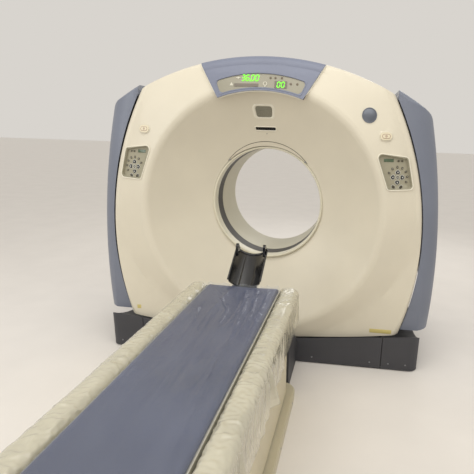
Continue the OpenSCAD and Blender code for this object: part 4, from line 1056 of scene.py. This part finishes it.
# %% Film finish
def film(name, colour, alpha, rough):
    finish = Finish(name)
    crumple = finish.noise(14, 3.0, (1, 0.4, 1), 0.5)
    fine = finish.noise(60, 2.0, (1, 0.5, 1))
    finish.feed(Base_Color=finish.ramp(crumple, colour, (0.3, 0.9), (0.75, 1.08)),
                Roughness=finish.spread(fine, rough - 0.05, rough + 0.12),
                Normal=finish.bump(fine, 0.0004, 0.4, finish.bump(crumple, 0.006, 0.6)))
    return finish.set(Alpha=alpha, IOR=1.6, Coat_Weight=1.0, Coat_Roughness=0.06).material


def crest(x, y, seed, sharp=5.0):
    return (1 - min(1.0, abs(wave(x, y, seed)) * 2.2)) ** sharp


FILM_THICKNESS = 0.0005


def grid_object(name, rows, finish):
    """A grid of points as one sheet."""
    across = len(rows[0])
    corners = [j * across + i for j in range(len(rows) - 1) for i in range(across - 1)]
    mesh = bpy.data.meshes.new(name)
    mesh.from_pydata([p for row in rows for p in row], [],
                     [(k, k + 1, k + across + 1, k + across) for k in corners])
    return as_object(name, mesh, finish)


def thickened(thing):
    """The sheet with a real thickness."""
    wall = thing.modifiers.new("thickness", "SOLIDIFY")
    wall.thickness = FILM_THICKNESS
    baked(thing)
    thing.data.shade_smooth()
    return thing


FOLDS = [((-0.19, -0.87), (0.03, -1.28), 0.014), ((0.06, -0.9), (0.13, -1.9), 0.009),
         ((-0.06, -1.0), (0.01, -2.3), 0.008), ((0.1, -1.35), (0.17, -2.6), 0.009),
         ((-0.17, -1.5), (-0.09, -2.5), 0.005), ((0.19, -0.88), (0.05, -1.1), 0.009)]


def fold_lift(x, y):
    """Height of the few deliberate folds: sharp crests along straight lines that fade at both ends."""
    lift = 0.0
    for (x0, y0), (x1, y1), height in FOLDS:
        t = (y - y0) / (y1 - y0)
        if 0 < t < 1:
            off = abs(x - x0 - (x1 - x0) * t - 0.006 * wave(0, y * 6, height * 900))
            lift += height * math.sin(math.pi * t) ** 0.7 * math.exp(-off / 0.006)
    return lift


clear_film = film("clear_film", rgb(190, 196, 204), 0.11, 0.12)
FILM_LENGTH, FILM_WIDTH = pad_high.y - pad_low.y, 0.47
film_rows = []
for y in np.linspace(pad_low.y + 0.002, pad_high.y + 0.006, 330):
    row = []
    gather = min(1.0, max(0.0, (y + 2.2) / 1.1))
    for s in np.linspace(-1, 1, 75):
        flat = abs(s) * FILM_WIDTH / 2
        over = max(0.0, flat - PAD_HALF)
        x = math.copysign(min(flat, PAD_HALF) + min(0.0066, over * 0.4), s)
        z = pad_top(min(flat, PAD_HALF)) + 0.0016 - over * 0.85
        edge = min(1.0, max(0.0, (flat - 0.12) / 0.08))
        long_crease = crest(x * 16 + 0.8 * y, y * 1.7, 7.1) * (0.002 + 0.009 * gather)
        cross_crease = crest(x * 6, y * 21 + 3 * x, 2.6, 3.0) * 0.0045 * edge * (0.5 + 0.5 * gather)
        lift = fold_lift(x, y) + long_crease + cross_crease + 0.001 * crest(x * 9, y * 9, 5.5, 3.0)
        row.append((x, y, z + lift * (1 if over == 0 else 0.25)))
    film_rows.append(row)
pad_film = thickened(grid_object("pad_film.shown", film_rows, clear_film))
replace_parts(pad_film, "pad_film")
carried(pad_film, "cradle_body")
print("film on the pad:", len(film_rows), "rows")

# %% [markdown]
# ## Films over the side rails
# Each rail wears a loose cover of the same film, tucked in beside the pad and hanging down outside.
# Crumpling is what cloth simulation does well: the sheet starts wrapped loosely round the rail, grows
# by a few parts in a hundred while its inner edge is held, and so buckles into real creases.

# %% Rail films
rail_low, rail_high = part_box("side_rail_right")
HANG, FILM_GROWTH, RAIL_GAP, FILM_INNER_X = 0.185, 0.06, 0.0035, 0.2088
RAIL_FILM_Y = (rail_low.y + 0.004, rail_high.y + 0.03)
CLOTH_FRAMES = 26


def rail_path():
    """Points round the rail's section, from the inner tuck over the top and down the outside."""
    x0, x1, top, r = rail_low.x - 0.001, rail_high.x + RAIL_GAP, rail_high.z + RAIL_GAP, 0.028
    points = [(x0 - 0.001, top - 0.05), (x0 - 0.001, top - r)]
    turns = np.linspace(0.2, math.pi / 2, 7)
    points += [(x0 + r - r * math.cos(a), top - r + r * math.sin(a)) for a in turns]
    points += [(x1 - r + r * math.sin(a), top - r + r * math.cos(a)) for a in np.linspace(0, math.pi / 2, 7)]
    points.append((x1, top - HANG))
    return points


def along(points, step):
    """The path cut into equal steps."""
    lengths = [0.0]
    for a, b in zip(points, points[1:]):
        lengths.append(lengths[-1] + math.dist(a, b))
    count = round(lengths[-1] / step)
    made = []
    for k in range(count + 1):
        at = lengths[-1] * k / count
        i = min(len(points) - 2, max(j for j in range(len(points) - 1) if lengths[j] <= at + 1e-9))
        t = (at - lengths[i]) / (lengths[i + 1] - lengths[i])
        made.append(tuple(a + (b - a) * t for a, b in zip(points[i], points[i + 1])))
    return made, lengths[-1]


def rail_film(side, seed):
    sign, step = SIDES[side], 0.0085
    section, width = along(rail_path(), step)
    rows = []
    for y in np.arange(RAIL_FILM_Y[0], RAIL_FILM_Y[1], step):
        row = []
        for i, (x, z) in enumerate(section):
            outer = max(0.0, i / len(section) - 0.62) / 0.38
            loose = 0.007 * wave(i * 0.13, y * 7 + i * 0.1, seed) + 0.0035
            loose += 0.004 * wave(i * 0.3, y * 19, seed + 5)
            drop = 0.03 * outer * wave(0.0, y * 3.1, seed + 3)
            past = max(0.0, y - rail_high.y)
            flare = 0.03 * outer * max(0.0, wave(y * 2.3, 1.0, seed) + 0.25)
            away = loose * outer + flare + past * outer * 0.9
            row.append((sign * (x + away), y, z + loose * (1 - outer) + drop - past * 0.7))
        rows.append(row)
    thing = grid_object(f"rail_film_{side}", rows, rail_clear)
    crumple(thing, side, len(rows), len(section))
    soften = thing.modifiers.new("soften", "SUBSURF")
    soften.levels = soften.render_levels = 1
    return carried(thickened(thing), "table_top"), width


def crumple(thing, side, count, across):
    """Lets the sheet grow over the rail, and keeps the result."""
    rail = as_object("crumple_rail", frame["nodes"][f"side_rail_{side}"].data.copy())
    rail.modifiers.new("collide", "COLLISION")
    rail.collision.thickness_outer = 0.001
    rail.collision.cloth_friction = 12
    held = thing.vertex_groups.new(name="held")
    held.add([j * across + i for j in range(count) for i in range(3)], 1.0, "REPLACE")
    cloth = thing.modifiers.new("crumple", "CLOTH")
    for key, value in dict(quality=6, mass=0.06, tension_stiffness=12, compression_stiffness=12,
                           bending_stiffness=0.6, shrink_min=-FILM_GROWTH, vertex_group_mass="held").items():
        setattr(cloth.settings, key, value)
    cloth.collision_settings.distance_min = 0.0015
    cloth.collision_settings.use_self_collision = False
    cloth.point_cache.frame_start, cloth.point_cache.frame_end = 1, CLOTH_FRAMES
    scene = bpy.context.scene
    for step in range(1, CLOTH_FRAMES + 1):
        scene.frame_set(step)
    baked(thing)
    scene.frame_set(1)
    bpy.data.objects.remove(rail)
    for vertex in thing.data.vertices:
        vertex.co.x = math.copysign(max(FILM_INNER_X, abs(vertex.co.x)), vertex.co.x)


rail_clear = film("rail_film_clear", rgb(222, 216, 194), 0.58, 0.2)
films, widths = zip(*(rail_film(side, seed) for side, seed in (("right", 1.7), ("left", 8.3))))
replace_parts(films[0], "rail_films")

# %% [markdown]
# ## Floor, light and background
# The object stands on a plain pale floor under broad soft lamps, as under a lit ceiling. Rays from
# the camera, and those that reflect, see a pale world, so metal and gloss have something to mirror.

# %% Floor and light
def stage_floor():
    form = bmesh.new()
    bmesh.ops.create_grid(form, x_segments=1, y_segments=1, size=40)
    formed("floor", form, moulded("floor_vinyl", rgb(232, 226, 218), 0.7, 0.02))


def lamp(name, place, target, size, power, colour=(1, 1, 1)):
    light = bpy.data.lights.new(name, "AREA")
    light.shape = "RECTANGLE"
    light.size, light.size_y = size
    light.energy = power
    light.color = colour
    thing = bpy.data.objects.new(name, light)
    thing.location = place
    thing.rotation_euler = (Vector(target) - Vector(place)).to_track_quat("-Z", "Y").to_euler()
    bpy.context.scene.collection.objects.link(thing)


def background(seen, lighting, strength):
    world = bpy.data.worlds.new("room")
    bpy.context.scene.world = world
    world.use_nodes = True
    nodes, links = world.node_tree.nodes, world.node_tree.links
    nodes.clear()
    path, lit, pale, either, also, mix, out = [
        nodes.new("ShaderNode" + kind)
        for kind in ("LightPath", "Background", "Background", "Math", "Math", "MixShader", "OutputWorld")]
    lit.inputs["Color"].default_value = lighting
    lit.inputs["Strength"].default_value = strength
    pale.inputs["Color"].default_value = seen
    either.operation = also.operation = "MAXIMUM"
    for output, socket in ((path.outputs["Is Camera Ray"], either.inputs[0]),
                           (path.outputs["Is Glossy Ray"], also.inputs[0]),
                           (path.outputs["Is Transmission Ray"], also.inputs[1]),
                           (also.outputs[0], either.inputs[1]), (either.outputs[0], mix.inputs[0]),
                           (lit.outputs[0], mix.inputs[1]), (pale.outputs[0], mix.inputs[2]),
                           (mix.outputs[0], out.inputs["Surface"])):
        links.new(output, socket)


stage_floor()
background(rgb(216, 212, 206), (1.0, 0.98, 0.95, 1), 0.74)
lamp("ceiling", (0.3, -1.6, 3.4), (0, -0.3, 0.9), (3.6, 2.4), 46, (1.0, 0.98, 0.94))
lamp("front", (0.7, -4.4, 1.5), (0, -0.3, 1.0), (2.6, 1.6), 10, (1.0, 0.98, 0.95))
lamp("window_side", (-2.9, -3.0, 2.2), (0, -0.2, 1.0), (1.8, 1.8), 26, (0.96, 0.98, 1.0))
lamp("behind", (0.8, 3.2, 2.8), (0, 0.4, 1.0), (2.4, 1.6), 26)
print("lamps:", len(bpy.data.lights))
bpy.context.scene.view_settings.view_transform = "Standard"
